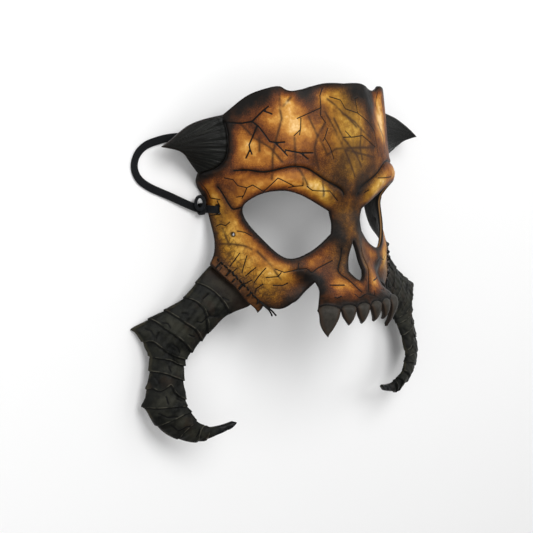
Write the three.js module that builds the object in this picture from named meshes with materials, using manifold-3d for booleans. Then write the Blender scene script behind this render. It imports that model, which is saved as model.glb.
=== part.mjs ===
// A wet-moulded leather skull half-mask with two jaw horns, lying face up.
// Units are millimetres. Face frame: +X to the viewer's right, +Y up the face, +Z out of the face.
// Left and right in the names are the wearer's: the wearer's right side is at -X.
import * as THREE from 'three';
import { mergeVertices } from 'three/addons/utils/BufferGeometryUtils.js';
import Module from 'manifold-3d';

const wasm = await Module();
wasm.setup();

// Driving dimensions
const FACE_LEATHER = 3.2;
const HORN_LEATHER = 2.8;
const PIECE_GAP = 0.35;
const OUTLINE_STEP = 4.6;
const LATTICE_CELL = 6;
const PATTERN_HALF_WIDTH = 156;
const PATTERN_TOP = 104;
const PATTERN_BOTTOM = -88;
const STRAP_WIDTH = 5.6;
const STRAP_THICKNESS = 1.2;
const STRAP_SLOT = { u: 105.5, v: 9.5, width: 2.8, length: 7.6 };
const STRAP_EDGE_U = 116.8;
const PUNCHED_HOLE = { u: 92, v: -8, radius: 1.3, sides: 10 };
const THREAD_RADIUS = 0.45;
const THREAD_STEPS = 22;
const REST_LIFT = 65.82;
const REST_SHIFT = 29.34;

// How the flat pattern is bent. Each section is one level up the face: points [x, z] from the midline
// outwards, joined by straight stretches. The sheet takes each stretch's slope at its middle.
const BEND_STATIONS = [0, 10, 20, 30, 40, 50, 60, 70, 80, 95, 110, 130];
const SECTIONS = [
  { level: -80, points: [[0, 21], [14, 20], [28, 16], [36, 11], [41, 4], [43, -5], [50, -14], [64, -25],
    [84, -38], [104, -51]] },
  { level: -62, points: [[0, 26], [14, 25], [28, 21], [38, 16], [44, 11], [47, 3], [49, -5], [56, -12],
    [70, -23], [90, -36], [108, -48]] },
  { level: -50, points: [[0, 19], [14, 17], [28, 10], [35, 3], [38, -3], [44, -6], [56, -13], [70, -24],
    [90, -37], [110, -50]] },
  { level: -30, points: [[0, 10], [8, 8], [16, 3], [28, -2], [42, -8], [56, -15], [68, -24], [78, -34],
    [88, -41], [110, -53]] },
  { level: -13, points: [[0, 7], [8, 4], [16, -1], [28, -5], [42, -10], [56, -16], [66, -25], [75, -37],
    [82, -49], [87, -60], [91, -70]] },
  { level: 5, points: [[0, 1], [14, 0], [28, -4], [42, -9], [56, -14], [65, -21], [72, -31], [78, -43],
    [83, -56], [86, -72]] },
  { level: 22, points: [[0, 5], [14, 3], [28, 1], [42, -3], [56, -8], [65, -14], [72, -24], [78, -36],
    [83, -50], [87, -63], [89, -77]] },
  { level: 50, points: [[0, 6], [14, 5], [28, 3], [42, -2], [52, -8], [60, -14], [68, -23], [77, -35],
    [88, -44], [100, -48], [130, -50]] },
  { level: 76, points: [[0, 3], [14, 2], [28, -1], [40, -9], [50, -13], [57, -16], [66, -25], [75, -36],
    [85, -44], [98, -47], [130, -49]] },
  { level: 97, points: [[0, -3], [14, -4], [27, -7], [37, -15], [44, -17], [53, -17], [62, -25],
    [72, -35], [82, -44], [95, -47], [125, -49]] },
];

// Ridges tooled up from the back: a line across the pattern, its height and its spread.
const RIDGES = [
  { height: 2.4, spread: 6, line: [[92, 30], [72, 31], [54, 32], [38, 29], [24, 20]] },
  { height: 1.8, spread: 7, line: [[92, -12], [76, -28], [60, -36], [44, -36]] },
  { height: 1.6, spread: 5, line: [[37, -62], [34, -76]] },
  { height: 1.2, spread: 3.5, line: [[20, -62], [19, -70]] },
  { height: 1.2, spread: 3.5, line: [[7, -62], [7, -70]] },
];

// The cut outline of one half of the pattern, from the top of the midline round to its bottom.
// Each run is one smooth stretch, and runs meet at corners. The teeth follow from their own sizes.
const GUM_LEVEL = -61;
const TEETH = [
  { from: 45, to: 27, tip: 33, length: 21.5 },
  { from: 27, to: 13.5, tip: 18.5, length: 13.5 },
  { from: 13.5, to: 0, tip: 6.5, length: 13.5 },
];
const TOOTH_BELLY = { level: 0.5, outside: 0.25, inside: 0.4 };
const HALF_OUTLINE = {
  brow_top: [[0, 100], [19, 100], [44, 95], [57, 98], [78, 92], [98, 78]],
  small_horn_top: [[98, 78], [125, 71], [150, 56]],
  small_horn_under: [[150, 56], [132, 51], [121, 36]],
  temple: [[121, 36], [126, 24], [113, 5], [107, -18], [110, -28]],
  flange: [[110, -28], [97, -46], [91, -65]],
  flange_foot: [[91, -65], [85, -60]],
  cheek_under: [[85, -60], [73, -62], [55, -54], [37, -43]],
  muzzle_side: [[37, -43], [37, -50], [45, GUM_LEVEL]],
};
const EYE_OPENING = {
  rim: [[17, 7], [48, 22], [66, 24], [80, 19], [86, 9], [73, -9], [54, -25], [34, -21], [17, -9]],
  inner_side: [[17, -9], [15, -1], [17, 7]],
};
const NOSE_HALF = {
  side: [[0, -15], [5, -25], [8, -36]],
  under: [[8, -36], [4, -41], [0, -43]],
};

// The jaw horn from its root under the cheek flange to its tip, in x and y. It has an outer and an inner
// edge, and both have an upper part, down to the spike, and a lower part. Ribs cross it at even shares of
// each part, and every rib but the last is a plate that stands proud of the next.
const HORN_TURN_DEG = 24;
const HORN_UPPER = {
  outer: [[89, -31], [106, -42], [127, -60], [150, -72]],
  inner: [[63, -54], [84, -67], [115, -94]],
};
const HORN_LOWER = {
  outer: [[150, -72], [139, -90], [146, -127], [126, -152], [100, -159], [77, -147]],
  inner: [[115, -94], [118, -115], [116, -133], [100, -147], [79, -146]],
};
const UPPER_RIBS = 6;
const LOWER_RIBS = 11;
const FIRST_PLATE = 2;
// How far the sheet is set out from the horn's slanting plane at both edges, and how much it is crowned,
// at shares of the way from the root to the tip.
const HORN_SHARES = [0, 0.12, 0.24, 0.35, 0.5, 0.68, 0.85, 1];
const HORN_OUTER_SET = [-6.5, -2.6, 0, 3, 6, 10, 4, 1];
const HORN_INNER_SET = [4, 0, 0, 1, 6, 10, 4, 1];
const HORN_CROWN = [0, 2, 4, 4, 4, 4, 2.5, 0];
const PLATE_STEP = 0.9;
const PLATE_LIP = 0.06;
const HORN_CELLS = 5;

// The seam that joins each cheek flange to its jaw horn, in pattern coordinates.
const SEAM = [[104, -26], [96, -34], [89, -45], [83, -57]];
const THREAD_TAIL = [[80, -62], [77, -66]];
const TAIL_LIFT = 1;
const SEAM_STEP = 4;

// The elastic strap where it lies on the surface under the mask, x and y in the face frame, with its height
// above that surface.
const STRAP_ROUTE = [
  [-88.9, 9.5, 3.4], [-92.5, 10.5, 3.1], [-97.4, 12.5, 2.7], [-105.5, 16, 2.1], [-114.4, 20, 1.5],
  [-124, 24, 1], [-133, 28, 0.9], [-141, 33.5, 0.9], [-145, 41.5, 0.9], [-143, 50, 0.9], [-136, 56.5, 0.9],
  [-125, 60, 0.9], [-112, 62, 0.9], [-99, 62, 0.9], [-86, 61.5, 0.9], [-70, 60, 0.9], [-50, 57, 0.9],
  [-28, 54, 0.9], [-5, 53, 0.9], [18, 54, 0.9], [40, 57, 0.9], [58, 60, 0.9], [74, 60.5, 0.9], [87, 57, 0.9],
  [96, 50, 0.9], [101.5, 41, 0.9], [102.5, 31, 1], [100.5, 22, 1.5], [97, 15.5, 2.3], [93, 11.5, 3],
  [88.9, 9.5, 3.4],
];
const STRAP_STEPS = 60;
const STRAP_CORNER = 0.35;
const STRAP_SLACK = 0.25;
const BAND_CORNERS = { outer: 1.2, inner: 0.4 };
const KNOT = { u: 112.5, v: 9.5, out: 4.2, radii: [3.2, 3.4, 2.6] };

const COLOURS = {
  face: 0xa8682a,
  horn: 0x2c2b28,
  thread: 0x14110f,
  strap: 0x111318,
};

// Smooth curve through uneven stations, flat beyond both ends.
function smoothThrough(stations, values, at) {
  const last = stations.length - 1;
  const x = Math.min(Math.max(at, stations[0]), stations[last]);
  let i = 0;
  while (i < last - 1 && x >= stations[i + 1]) i += 1;
  const slope = (k) => (values[k + 1] - values[k]) / (stations[k + 1] - stations[k]);
  const tangent = (k) => {
    if (k === 0) return slope(0);
    if (k === last) return slope(last - 1);
    return (slope(k - 1) + slope(k)) / 2;
  };
  const h = stations[i + 1] - stations[i];
  const t = (x - stations[i]) / h;
  return values[i] * (1 + 2 * t) * (1 - t) ** 2 + tangent(i) * h * t * (1 - t) ** 2
    + values[i + 1] * t * t * (3 - 2 * t) + tangent(i + 1) * h * t * t * (t - 1);
}

// The turn of the sheet at every station of one section, in degrees.
function turnsAlong(points) {
  const middles = [0];
  const slopes = [0];
  let run = 0;
  for (let k = 1; k < points.length; k += 1) {
    const dx = points[k][0] - points[k - 1][0];
    const dz = points[k][1] - points[k - 1][1];
    const length = Math.hypot(dx, dz);
    middles.push(run + length / 2);
    slopes.push(THREE.MathUtils.radToDeg(Math.atan2(-dz, dx)));
    run += length;
  }
  return BEND_STATIONS.map((station) => {
    const next = Math.max(1, middles.findIndex((middle) => middle >= station));
    if (station >= middles.at(-1)) return slopes.at(-1);
    const share = (station - middles[next - 1]) / (middles[next] - middles[next - 1]);
    return THREE.MathUtils.lerp(slopes[next - 1], slopes[next], share);
  });
}

const LEVELS = SECTIONS.map((section) => section.level);
const LEVEL_DEPTHS = SECTIONS.map((section) => section.points[0][1]);
const LEVEL_TURNS = SECTIONS.map((section) => turnsAlong(section.points));

// The middle of the sheet's outer face before tooling: pattern point (u, v) to the face frame.
function bentSheet(u, v) {
  const bends = BEND_STATIONS.map((_, k) => smoothThrough(LEVELS, LEVEL_TURNS.map((turns) => turns[k]), v));
  const reach = Math.abs(u);
  const steps = Math.max(1, Math.round(reach / 2));
  const step = reach / steps;
  let x = 0;
  let z = smoothThrough(LEVELS, LEVEL_DEPTHS, v);
  for (let k = 0; k < steps; k += 1) {
    const angle = THREE.MathUtils.degToRad(smoothThrough(BEND_STATIONS, bends, (k + 0.5) * step));
    x += Math.cos(angle) * step;
    z -= Math.sin(angle) * step;
  }
  return new THREE.Vector3(Math.sign(u) * x, v, z);
}

function sheetNormal(u, v) {
  const reach = 0.5;
  const across = bentSheet(u + reach, v).sub(bentSheet(u - reach, v));
  const along = bentSheet(u, v + reach).sub(bentSheet(u, v - reach));
  return across.cross(along).normalize();
}

function distanceToLine(u, v, line) {
  const point = new THREE.Vector3(u, v, 0);
  const nearest = new THREE.Vector3();
  let distance = Infinity;
  for (let k = 1; k < line.length; k += 1) {
    const run = new THREE.Line3(new THREE.Vector3(...line[k - 1], 0), new THREE.Vector3(...line[k], 0));
    run.closestPointToPoint(point, true, nearest);
    distance = Math.min(distance, nearest.distanceTo(point));
  }
  return distance;
}

function toolingHeight(u, v) {
  let height = 0;
  for (const ridge of RIDGES) {
    const away = distanceToLine(Math.abs(u), v, ridge.line) / ridge.spread;
    height += ridge.height * Math.exp(-away * away);
  }
  return height;
}

// A point of the finished sheet: lift is 0 on the outer face and -FACE_LEATHER on the inner one.
function onSheet(u, v, lift) {
  return bentSheet(u, v).addScaledVector(sheetNormal(u, v), lift + toolingHeight(u, v));
}

function smoothRun(points, step) {
  const curve = new THREE.SplineCurve(points.map(([x, y]) => new THREE.Vector2(x, y)));
  const count = Math.max(1, Math.round(curve.getLength() / step));
  return curve.getSpacedPoints(count).slice(0, -1);
}

// Both sides of one tooth, from the gum to the tip and back, each with a slight belly.
function toothRuns({ from, to, tip, length }) {
  const side = (start, belly) => [start + (tip - start) * belly, GUM_LEVEL - length * TOOTH_BELLY.level];
  const foot = [tip, GUM_LEVEL - length];
  return [
    [[from, GUM_LEVEL], side(from, TOOTH_BELLY.outside), foot],
    [foot, side(to, TOOTH_BELLY.inside), [to, GUM_LEVEL]],
  ];
}

function outlinePoints(runs, step = OUTLINE_STEP) {
  return Object.values(runs).flatMap((points) => smoothRun(points, step));
}

function mirrored(points) {
  return points.map((p) => new THREE.Vector2(-p.x, p.y)).reverse();
}

// Both halves of an outline that starts and ends on the midline.
function wholeOutline(runs, step) {
  const half = outlinePoints(runs, step);
  const lastRun = Object.values(runs).at(-1);
  const foot = new THREE.Vector2(...lastRun.at(-1));
  return [...half, foot, ...mirrored(half.slice(1))];
}

function toSolid(geometry) {
  const bare = geometry.clone();
  bare.deleteAttribute('normal');
  bare.deleteAttribute('uv');
  const merged = mergeVertices(bare, 1e-4);
  return new wasm.Manifold(new wasm.Mesh({
    numProp: 3,
    vertProperties: new Float32Array(merged.attributes.position.array),
    triVerts: new Uint32Array(merged.index.array),
  }));
}

function toGeometry(solid, place = (x, y, z) => new THREE.Vector3(x, y, z)) {
  const { vertProperties, triVerts, numProp } = solid.getMesh();
  const positions = [];
  for (let k = 0; k < vertProperties.length; k += numProp) {
    positions.push(...place(vertProperties[k], vertProperties[k + 1], vertProperties[k + 2]).toArray());
  }
  const geometry = new THREE.BufferGeometry();
  geometry.setAttribute('position', new THREE.Float32BufferAttribute(positions, 3));
  geometry.setIndex([...triVerts]);
  geometry.computeVertexNormals();
  return geometry;
}

// The lattice is domed a little while it is cut, so that its vertices all stay, and is flattened afterwards.
const DOME = 0.002;
const dome = (u, v) => DOME * (u * u + v * v);

function latticeSlab() {
  const width = 2 * PATTERN_HALF_WIDTH;
  const height = PATTERN_TOP - PATTERN_BOTTOM;
  const columns = 2 * Math.round(PATTERN_HALF_WIDTH / LATTICE_CELL);
  const rows = Math.round(height / LATTICE_CELL);
  const slab = new THREE.BoxGeometry(width, height, FACE_LEATHER, columns, rows, 1);
  slab.translate(0, (PATTERN_TOP + PATTERN_BOTTOM) / 2, -FACE_LEATHER / 2);
  const place = slab.attributes.position;
  for (let k = 0; k < place.count; k += 1) {
    place.setZ(k, place.getZ(k) + dome(place.getX(k), place.getY(k)));
  }
  return toSolid(slab);
}

function ringPoints(u, v, radius, sides) {
  return Array.from({ length: sides }, (_, k) => {
    const angle = (k / sides) * 2 * Math.PI;
    return new THREE.Vector2(u + radius * Math.cos(angle), v + radius * Math.sin(angle));
  });
}

// A slot that stands square to the strap on the bent sheet, which leans in the pattern.
function slotPoints({ u, v, width, length }) {
  const across = bentSheet(u + 1, v).sub(bentSheet(u - 1, v)).divideScalar(2);
  const along = bentSheet(u, v + 1).sub(bentSheet(u, v - 1)).divideScalar(2);
  const [w, l] = [width / 2, length / 2];
  const lean = -across.dot(along) * l;
  const corners = [[u - w - lean, v - l], [u + w - lean, v - l], [u + w + lean, v + l], [u - w + lean, v + l]];
  return corners.map((p) => new THREE.Vector2(...p));
}

// A straight cutter through the whole slab, with the given outline.
function cutterOf(points) {
  const cutter = new THREE.ExtrudeGeometry(new THREE.Shape(points), { depth: 120, bevelEnabled: false });
  cutter.translate(0, 0, -10);
  return toSolid(cutter);
}

function faceShell() {
  const sideHoles = [
    outlinePoints(EYE_OPENING),
    slotPoints(STRAP_SLOT),
    ringPoints(PUNCHED_HOLE.u, PUNCHED_HOLE.v, PUNCHED_HOLE.radius, PUNCHED_HOLE.sides),
  ];
  const outline = [...Object.values(HALF_OUTLINE), ...TEETH.flatMap(toothRuns)];
  let sheet = latticeSlab().intersect(cutterOf(wholeOutline(outline)));
  for (const hole of [wholeOutline(NOSE_HALF, 2.5), ...sideHoles, ...sideHoles.map(mirrored)]) {
    sheet = sheet.subtract(cutterOf(hole));
  }
  return toGeometry(sheet, (u, v, w) => onSheet(u, v, w - dome(u, v)));
}

// A closed skin over rings of points that all have the same count, capped at both ends.
function skinRings(rings) {
  const around = rings[0].length;
  const positions = rings.flat().flatMap((p) => p.toArray());
  const index = [];
  for (let r = 0; r < rings.length - 1; r += 1) {
    for (let k = 0; k < around; k += 1) {
      const a = r * around + k;
      const b = r * around + ((k + 1) % around);
      index.push(a, b, b + around, a, b + around, a + around);
    }
  }
  const last = (rings.length - 1) * around;
  for (let k = 1; k < around - 1; k += 1) {
    index.push(0, k + 1, k);
    index.push(last, last + k, last + k + 1);
  }
  const geometry = new THREE.BufferGeometry();
  geometry.setAttribute('position', new THREE.Float32BufferAttribute(positions, 3));
  geometry.setIndex(index);
  geometry.computeVertexNormals();
  return geometry;
}

function mirrorGeometry(geometry) {
  const copy = geometry.clone();
  copy.scale(-1, 1, 1);
  const index = copy.index.array;
  for (let k = 0; k < index.length; k += 3) [index[k + 1], index[k + 2]] = [index[k + 2], index[k + 1]];
  copy.computeVertexNormals();
  return copy;
}

// Every rib of the jaw horn: its two ends, how far each stands out, and its crown.
function hornRibs() {
  const along = (points, share) => {
    const curve = new THREE.SplineCurve(points.map((p) => new THREE.Vector2(...p)));
    return curve.getPointAt(share).toArray();
  };
  const total = UPPER_RIBS + LOWER_RIBS;
  return Array.from({ length: total + 1 }, (_, k) => {
    const part = k < UPPER_RIBS ? HORN_UPPER : HORN_LOWER;
    const share = k < UPPER_RIBS ? k / UPPER_RIBS : (k - UPPER_RIBS) / LOWER_RIBS;
    const whole = k / total;
    return {
      outer: along(part.outer, share),
      inner: along(part.inner, share),
      set: [HORN_OUTER_SET, HORN_INNER_SET].map((values) => smoothThrough(HORN_SHARES, values, whole)),
      crown: smoothThrough(HORN_SHARES, HORN_CROWN, whole),
      isPlate: k >= FIRST_PLATE && k < total - 1,
    };
  });
}

// The jaw horn on the +X side.
function jawHorn() {
  const turn = THREE.MathUtils.degToRad(HORN_TURN_DEG);
  const facing = new THREE.Vector3(Math.sin(turn), 0, Math.cos(turn));
  const ring = (rib, raise) => {
    const front = [];
    for (let k = 0; k <= HORN_CELLS; k += 1) {
      const s = k / HORN_CELLS;
      const x = THREE.MathUtils.lerp(rib.outer[0], rib.inner[0], s);
      const y = THREE.MathUtils.lerp(rib.outer[1], rib.inner[1], s);
      const set = THREE.MathUtils.lerp(...rib.set, s) + rib.crown * 4 * s * (1 - s) + raise;
      front.push(new THREE.Vector3(x, y, (set - facing.x * x) / facing.z));
    }
    const thick = HORN_LEATHER + raise;
    const back = front.map((p) => p.clone().addScaledVector(facing, -thick)).reverse();
    return [...front, ...back];
  };
  const lerpPair = (a, b, t) => a.map((value, k) => THREE.MathUtils.lerp(value, b[k], t));
  const between = (a, b, t) => ({
    outer: lerpPair(a.outer, b.outer, t),
    inner: lerpPair(a.inner, b.inner, t),
    set: lerpPair(a.set, b.set, t),
    crown: THREE.MathUtils.lerp(a.crown, b.crown, t),
  });
  const ribs = hornRibs();
  const rings = [];
  ribs.forEach((rib, k) => {
    rings.push(ring(rib, rib.isPlate ? PLATE_STEP : 0));
    if (rib.isPlate) rings.push(ring(between(rib, ribs[k + 1], PLATE_LIP), 0));
  });
  return skinRings(rings);
}

function tube(points, radius, sides, steps) {
  const section = new THREE.Shape(ringPoints(0, 0, radius, sides));
  const path = new THREE.CatmullRomCurve3(points);
  return new THREE.ExtrudeGeometry(section, { steps, extrudePath: path, bevelEnabled: false });
}

function seamThread() {
  const lift = THREAD_RADIUS + PIECE_GAP;
  const seam = [...smoothRun(SEAM, SEAM_STEP), new THREE.Vector2(...SEAM.at(-1))];
  const onSeam = seam.map((p) => onSheet(p.x, p.y, lift));
  const tail = THREAD_TAIL.map(([u, v], k) => onSheet(u, v, lift + TAIL_LIFT * (k + 1)));
  return tube([...onSeam, ...tail], THREAD_RADIUS, 6, THREAD_STEPS);
}

// The strap's band through its slot and round the temple edge, with the knot that closes it.
function strapLoop() {
  const { u, v } = STRAP_SLOT;
  const uFrom = u - STRAP_THICKNESS / 2;
  const uTo = STRAP_EDGE_U + PIECE_GAP + STRAP_THICKNESS;
  const middle = (uFrom + uTo) / 2;
  const across = onSheet(middle + 1, v, 0).sub(onSheet(middle - 1, v, 0)).normalize();
  const out = sheetNormal(middle, v);
  const along = new THREE.Vector3().crossVectors(out, across).normalize();
  const centre = onSheet(middle, v, -FACE_LEATHER / 2);
  const halfLong = (uTo - uFrom) / 2;
  const halfHigh = FACE_LEATHER / 2 + PIECE_GAP + STRAP_SLACK + STRAP_THICKNESS;
  const outer = roundedBox(halfLong, halfHigh, BAND_CORNERS.outer);
  const hole = roundedBox(halfLong - STRAP_THICKNESS, halfHigh - STRAP_THICKNESS, BAND_CORNERS.inner);
  outer.holes.push(hole);
  const band = new THREE.ExtrudeGeometry(outer, { depth: STRAP_WIDTH, bevelEnabled: false, curveSegments: 3 });
  band.translate(0, 0, -STRAP_WIDTH / 2);
  band.applyMatrix4(new THREE.Matrix4().makeBasis(across, out, along.clone().negate()).setPosition(centre));
  const knot = new THREE.SphereGeometry(1, 12, 8);
  knot.scale(...KNOT.radii);
  const knotPlace = onSheet(KNOT.u, KNOT.v, KNOT.out);
  knot.translate(knotPlace.x, knotPlace.y, knotPlace.z);
  return toGeometry(toSolid(band).add(toSolid(knot)));
}

function roundedBox(halfWidth, halfHeight, radius) {
  const path = new THREE.Shape();
  const [w, h, r] = [halfWidth, halfHeight, radius];
  path.moveTo(-w + r, -h);
  path.lineTo(w - r, -h);
  path.absarc(w - r, -h + r, r, -Math.PI / 2, 0);
  path.lineTo(w, h - r);
  path.absarc(w - r, h - r, r, 0, Math.PI / 2);
  path.lineTo(-w + r, h);
  path.absarc(-w + r, h - r, r, Math.PI / 2, Math.PI);
  path.lineTo(-w, -h + r);
  path.absarc(-w + r, -h + r, r, Math.PI, 1.5 * Math.PI);
  return path;
}

function strapOnTheSurface() {
  const points = STRAP_ROUTE.map(([x, y, height]) => new THREE.Vector3(x, y, height - REST_LIFT));
  const [w, t] = [STRAP_WIDTH / 2, STRAP_THICKNESS / 2];
  const c = STRAP_CORNER;
  const corners = [[-t, -w + c], [-t + c, -w], [t - c, -w], [t, -w + c], [t, w - c], [t - c, w], [-t + c, w],
    [-t, w - c]];
  const section = new THREE.Shape(corners.map((p) => new THREE.Vector2(...p)));
  const path = new THREE.CatmullRomCurve3(points);
  return new THREE.ExtrudeGeometry(section, { steps: STRAP_STEPS, extrudePath: path, bevelEnabled: false });
}

function named(name, geometry, colour, roughness) {
  const finish = new THREE.MeshStandardMaterial({ color: colour, roughness, metalness: 0 });
  const mesh = new THREE.Mesh(geometry, finish);
  mesh.name = name;
  return mesh;
}

const mask = new THREE.Group();
mask.position.set(0, REST_SHIFT, REST_LIFT);
mask.add(named('face_shell', faceShell(), COLOURS.face, 0.45));

const leftPieces = {
  jaw_horn: [jawHorn(), COLOURS.horn, 0.55],
  seam_thread: [seamThread(), COLOURS.thread, 0.7],
  strap_loop: [strapLoop(), COLOURS.strap, 0.6],
};
for (const [name, [geometry, colour, roughness]] of Object.entries(leftPieces)) {
  mask.add(named(`${name}_left`, geometry, colour, roughness));
  mask.add(named(`${name}_right`, mirrorGeometry(geometry.index ? geometry : mergeVertices(geometry)), colour,
    roughness));
}
mask.add(named('elastic_strap', strapOnTheSurface(), COLOURS.strap, 0.6));

export default mask;
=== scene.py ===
# %% [markdown]
# # A leather skull mask, lying face up
# The mask is one moulded sheet of dyed leather with two ribbed leather horns sewn behind its cheeks and a
# flat elastic strap. This lesson rebuilds its looks in Blender around a frame of plain solids that already
# holds the real sizes. Everything is in metres in the frame, and millimetres in the lists below, because a
# leather worker measures in millimetres.

# %% Load the frame of plain solids
import math
import bpy
import bmesh
import numpy as np
from mathutils import Matrix, Vector, kdtree
from mathutils.geometry import delaunay_2d_cdt


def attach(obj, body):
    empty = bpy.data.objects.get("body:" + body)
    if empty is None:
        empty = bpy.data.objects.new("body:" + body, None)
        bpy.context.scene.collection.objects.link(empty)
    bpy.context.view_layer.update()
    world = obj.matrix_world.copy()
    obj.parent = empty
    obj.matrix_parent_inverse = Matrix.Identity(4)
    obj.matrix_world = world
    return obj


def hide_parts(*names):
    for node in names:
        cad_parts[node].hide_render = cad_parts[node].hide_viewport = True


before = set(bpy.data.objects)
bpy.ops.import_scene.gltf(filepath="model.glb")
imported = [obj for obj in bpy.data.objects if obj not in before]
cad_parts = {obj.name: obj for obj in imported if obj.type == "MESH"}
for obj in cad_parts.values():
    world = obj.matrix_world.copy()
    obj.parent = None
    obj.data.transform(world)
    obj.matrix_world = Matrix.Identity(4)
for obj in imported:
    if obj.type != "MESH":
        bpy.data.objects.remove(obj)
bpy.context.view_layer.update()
MM = 0.001
TINY = 1e-9
print("frame pieces:", ", ".join(sorted(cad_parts)))

# %% [markdown]
# ## The camera
# The mask was photographed from its own right side, a little above, so the camera stands there and looks
# down at the lying mask. It is turned 42 degrees to the side and tipped a little, and its lens is as long as
# 1180 pixels of the square photograph. These few numbers put any point of the mask into the picture, and
# later they also bring a mark that is seen in the picture back onto the leather.

# %% Place the camera
FACE_SHIFT = 29.34
FACE_LIFT = 65.82
PHOTO_SIDE = 533
LENS_PIXELS = 1180
SENSOR_WIDTH = 36
YAW = math.radians(42)
PITCH = math.radians(8.63)
DISTANCE = 874
FACE_PIXEL = (346.7, 220)


def into_scene(name, data):
    """A new object for some data, hung into the scene."""
    made = bpy.data.objects.new(name, data)
    bpy.context.collection.objects.link(made)
    return made


to_the_right = np.array([math.cos(YAW), 0, math.sin(YAW)])
backwards = np.array([-math.sin(YAW) * math.cos(PITCH), math.sin(PITCH), math.cos(YAW) * math.cos(PITCH)])
TURN = np.array([to_the_right, np.cross(backwards, to_the_right), backwards])
face_aside = (np.array(FACE_PIXEL) - PHOTO_SIDE / 2) * [1, -1] * DISTANCE / LENS_PIXELS
CAMERA_SPOT = np.array([0, FACE_SHIFT, FACE_LIFT]) - np.array([*face_aside, -DISTANCE]) @ TURN
camera = into_scene("camera", bpy.data.cameras.new("camera"))
camera.data.sensor_width = SENSOR_WIDTH
camera.data.lens = SENSOR_WIDTH * LENS_PIXELS / PHOTO_SIDE
camera.matrix_world = Matrix.Translation(CAMERA_SPOT * MM) @ Matrix(TURN.T.tolist()).to_4x4()
bpy.context.scene.camera = camera


def to_photo(places):
    """The pixels of the photograph at which points in mm are seen."""
    seen = (places - CAMERA_SPOT) @ TURN.T
    return PHOTO_SIDE / 2 + LENS_PIXELS * seen[:, :2] / -seen[:, 2:] * [1, -1]


print("camera stands at", CAMERA_SPOT.round(), "mm, lens", round(camera.data.lens, 1), "mm")

# %% [markdown]
# ## Small helpers
# Every piece below ends as a plain mesh at the origin. One helper turns points and faces into an object,
# smooths it, and stores the numbers that its material will read, such as how dark the dye is at a point.

# %% Make meshes and smooth curves
def new_piece(name, points, faces, edges=(), smooth=True):
    mesh = bpy.data.meshes.new(name)
    mesh.from_pydata([tuple(p) for p in points], edges, [tuple(int(i) for i in f) for f in faces])
    mesh.validate()
    mesh.polygons.foreach_set("use_smooth", [smooth] * len(mesh.polygons))
    return into_scene(name, mesh)


def store(piece, name, values):
    attribute = piece.data.attributes.new(name, "FLOAT", "POINT")
    attribute.data.foreach_set("value", np.asarray(values, dtype=np.float32))


def run_along(line):
    """How far along a line each of its points is."""
    return np.concatenate([[0], np.cumsum(np.linalg.norm(np.diff(line, axis=0), axis=1))])


def at_run(line, run, at):
    """Places at given distances along a line."""
    return np.stack([np.interp(at, run, line[:, k]) for k in range(line.shape[1])], axis=1)


def unit(vectors):
    """The same directions with a length of one."""
    return vectors / np.maximum(np.linalg.norm(vectors, axis=-1, keepdims=True), TINY)


SMOOTH_POINTS = 24


def smooth_line(points, step):
    """Points every step along a smooth curve through the given ones."""
    points = np.asarray(points, dtype=float)
    before = np.vstack([points[:1], points[:-2]])
    after = np.vstack([points[2:], points[-1:]])
    t = np.linspace(0, 1, SMOOTH_POINTS, endpoint=False)[:, None]
    dense = []
    for a, b, c, d in zip(before, points[:-1], points[1:], after):
        v0, v1 = (c - a) / 2, (d - b) / 2
        dense.append((2 * b - 2 * c + v0 + v1) * t ** 3 + (3 * c - 3 * b - 2 * v0 - v1) * t ** 2 + v0 * t + b)
    dense = np.vstack(dense + [points[-1:]])
    run = run_along(dense)
    count = max(1, round(run[-1] / step))
    return at_run(dense, run, np.linspace(0, run[-1], count + 1))


def line_length(points):
    return float(run_along(points)[-1])


print("helpers ready")

# %% [markdown]
# ## The elastic strap
# A flat black elastic runs from one temple to the other. On a worn mask it goes round the head, and here it
# lies slack on the table. It is swept by hand: a flat section with rounded edges follows the route, and its
# wide face stays level, as a ribbon that lies down does. Its tied ends are made further down.

# %% Lay the strap along its route
STRAP_WIDTH = 5.6
STRAP_THICK = 1.2
STRAP_CORNER = 0.35
STRAP_STEP = 2.0
STRAP_ROUTE = [
    (-88.9, 9.5, 3.4), (-92.5, 10.5, 3.1), (-97.4, 12.5, 2.7), (-105.5, 16, 2.1), (-114.4, 20, 1.5),
    (-124, 24, 1), (-133, 28, 0.9), (-141, 33.5, 0.9), (-145, 41.5, 0.9), (-143, 50, 0.9),
    (-136, 56.5, 0.9), (-125, 60, 0.9), (-112, 62, 0.9), (-99, 62, 0.9), (-86, 61.5, 0.9), (-70, 60, 0.9),
    (-50, 57, 0.9), (-28, 54, 0.9), (-5, 53, 0.9), (18, 54, 0.9), (40, 57, 0.9), (58, 60, 0.9),
    (74, 60.5, 0.9), (87, 57, 0.9), (96, 50, 0.9), (101.5, 41, 0.9), (102.5, 31, 1), (100.5, 22, 1.5),
    (97, 15.5, 2.3), (93, 11.5, 3), (88.9, 9.5, 3.4),
]


def band_section(width, thick, corner, under, over):
    """A flat band's outline: rounded edges, and some places along the middle of its under and upper face."""
    w, t, c = width / 2, thick / 2, corner
    return [(-w, -t + c), (-w + c, -t), *under, (w - c, -t), (w, -t + c),
            (w, t - c), (w - c, t), *over, (-w + c, t), (-w, t - c)]


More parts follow.
